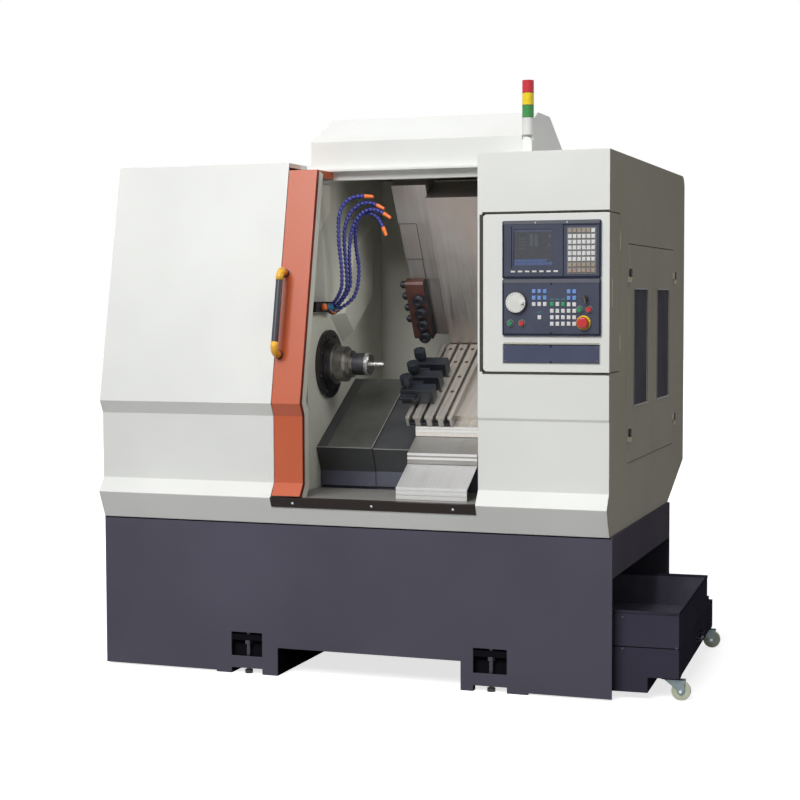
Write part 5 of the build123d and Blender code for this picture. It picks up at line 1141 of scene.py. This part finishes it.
def fork_cheeks(name, centre, body):
    def build(shape):
        for way in (-cart_back, cart_back):
            rings = []
            for out in (CHEEK_OUT, CHEEK_OUT + CHEEK_THICKNESS):
                rings.append([shape.verts.new(centre + (way * out + cart_way * along + UP * up) * MM)
                              for along, up in CHEEK_CORNERS])
            skin(shape, rings)
    piece(name, build, FORK, body)


for end in ("front", "rear"):
    wheel_low, wheel_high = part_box(f"caster_wheel_{end}_right")
    centre = (wheel_low + wheel_high) / 2
    fork_cheeks(f"fork_cheeks_{end}", centre, f"caster_fork_{end}")
    on_both_sides(f"axle_nuts_{end}", centre, CHEEK_OUT + CHEEK_THICKNESS, NUT_PROFILE, 6, ZINC,
                  f"caster_fork_{end}")

# Camera at the photo's place
CAMERA_PLACE = at(2098.3, -5389.5, 1319.7)
CAMERA_YAW, CAMERA_PITCH, CAMERA_ROLL = 0.3385, 0.0598, -0.0032
SENSOR, LENS_LENGTH = 36.0, 76.13
look = Vector((-math.sin(CAMERA_YAW) * math.cos(CAMERA_PITCH),
               math.cos(CAMERA_YAW) * math.cos(CAMERA_PITCH), -math.sin(CAMERA_PITCH)))
side = Vector((math.cos(CAMERA_YAW), math.sin(CAMERA_YAW), 0))
top = side.cross(look)
rolled_side = side * math.cos(CAMERA_ROLL) + top * math.sin(CAMERA_ROLL)
rolled_top = top * math.cos(CAMERA_ROLL) - side * math.sin(CAMERA_ROLL)
camera_data = bpy.data.cameras.new("camera")
camera_data.sensor_width = SENSOR
camera_data.lens = LENS_LENGTH
camera = bpy.data.objects.new("camera", camera_data)
turn = Matrix((rolled_side, rolled_top, -look)).transposed().to_4x4()
camera.matrix_world = Matrix.Translation(CAMERA_PLACE) @ turn
bpy.context.scene.collection.objects.link(camera)
bpy.context.scene.camera = camera


# Studio: pale floor that keeps the shadow, white surroundings, soft light from the front left and above,
# and a small light in the work space
def seen(tree):
    """One for rays from the camera, from mirrors and through glass, else zero."""
    path = tree.nodes.new("ShaderNodeLightPath")
    total = path.outputs["Is Camera Ray"]
    for name in ("Is Glossy Ray", "Is Transmission Ray"):
        step = tree.nodes.new("ShaderNodeMath")
        step.operation = "MAXIMUM"
        tree.links.new(total, step.inputs[0])
        tree.links.new(path.outputs[name], step.inputs[1])
        total = step.outputs["Value"]
    return total


FLOOR_GLOW, FLOOR_GLOW_REACH = (0.74, 1.0), (1.3, 3.2)
FLOOR_UNSEEN, FLOOR_SEEN, AMBIENT = (0.15, 0.15, 0.15), (0.80, 0.80, 0.80), 0.20


def floor_material():
    material, tree, bsdf = new_material("floor_paint")
    tone = mix(tree, seen(tree), FLOOR_UNSEEN, FLOOR_SEEN)
    tree.links.new(tone, bsdf.inputs["Base Color"])
    coords = tree.nodes.new("ShaderNodeTexCoord")
    reach = tree.nodes.new("ShaderNodeVectorMath")
    reach.operation = "LENGTH"
    tree.links.new(coords.outputs["Object"], reach.inputs[0])
    glow = tree.nodes.new("ShaderNodeMath")
    glow.operation = "MULTIPLY"
    tree.links.new(seen(tree), glow.inputs[0])
    tree.links.new(remap(tree, reach.outputs["Value"], *FLOOR_GLOW, FLOOR_GLOW_REACH), glow.inputs[1])
    tree.links.new(glow.outputs["Value"], bsdf.inputs["Emission Strength"])
    preset(bsdf, {"Emission Color": (1, 1, 1, 1), "Roughness": 0.8, "Specular IOR Level": 0.1})
    return material


FLOOR_HALF = 30.0
floor_mesh = bpy.data.meshes.new("floor")
floor_mesh.from_pydata([(x * FLOOR_HALF, y * FLOOR_HALF, 0) for x, y in ((-1, -1), (1, -1), (1, 1), (-1, 1))],
                       [], [(0, 1, 2, 3)])
floor = bpy.data.objects.new("floor", floor_mesh)
bpy.context.scene.collection.objects.link(floor)
floor_mesh.materials.append(floor_material())


def soft_light(name, place, target, size, power):
    data = bpy.data.lights.new(name, "AREA")
    data.shape = "RECTANGLE"
    data.size, data.size_y = size
    data.energy = power
    light = bpy.data.objects.new(name, data)
    way = (Vector(target) - Vector(place)).normalized()
    light.matrix_world = Matrix.Translation(place) @ way.to_track_quat("-Z", "Y").to_matrix().to_4x4()
    light.visible_camera = False
    bpy.context.scene.collection.objects.link(light)


LIGHTS = (
    ("front_light", (-1.4, -8.3, 6.7), (0, 0, 1.0), (6.0, 4.0), 705),
    ("top_light", (-0.8, -1.2, 6.0), (-0.2, 0, 0), (6.0, 5.0), 100),
    ("work_light", at(425, 290, 1480), at(-225, 400, 1100), (0.22, 0.12), 1.1),
)
for row in LIGHTS:
    soft_light(*row)
world = bpy.data.worlds.new("studio")
bpy.context.scene.world = world
world.use_nodes = True
background = world.node_tree.nodes["Background"]
background.inputs["Color"].default_value = (1.0, 1.0, 1.0, 1)
world.node_tree.links.new(remap(world.node_tree, seen(world.node_tree), AMBIENT, 1.0, (0.0, 1.0)),
                          background.inputs["Strength"])
bpy.context.scene.view_settings.view_transform = "Standard"
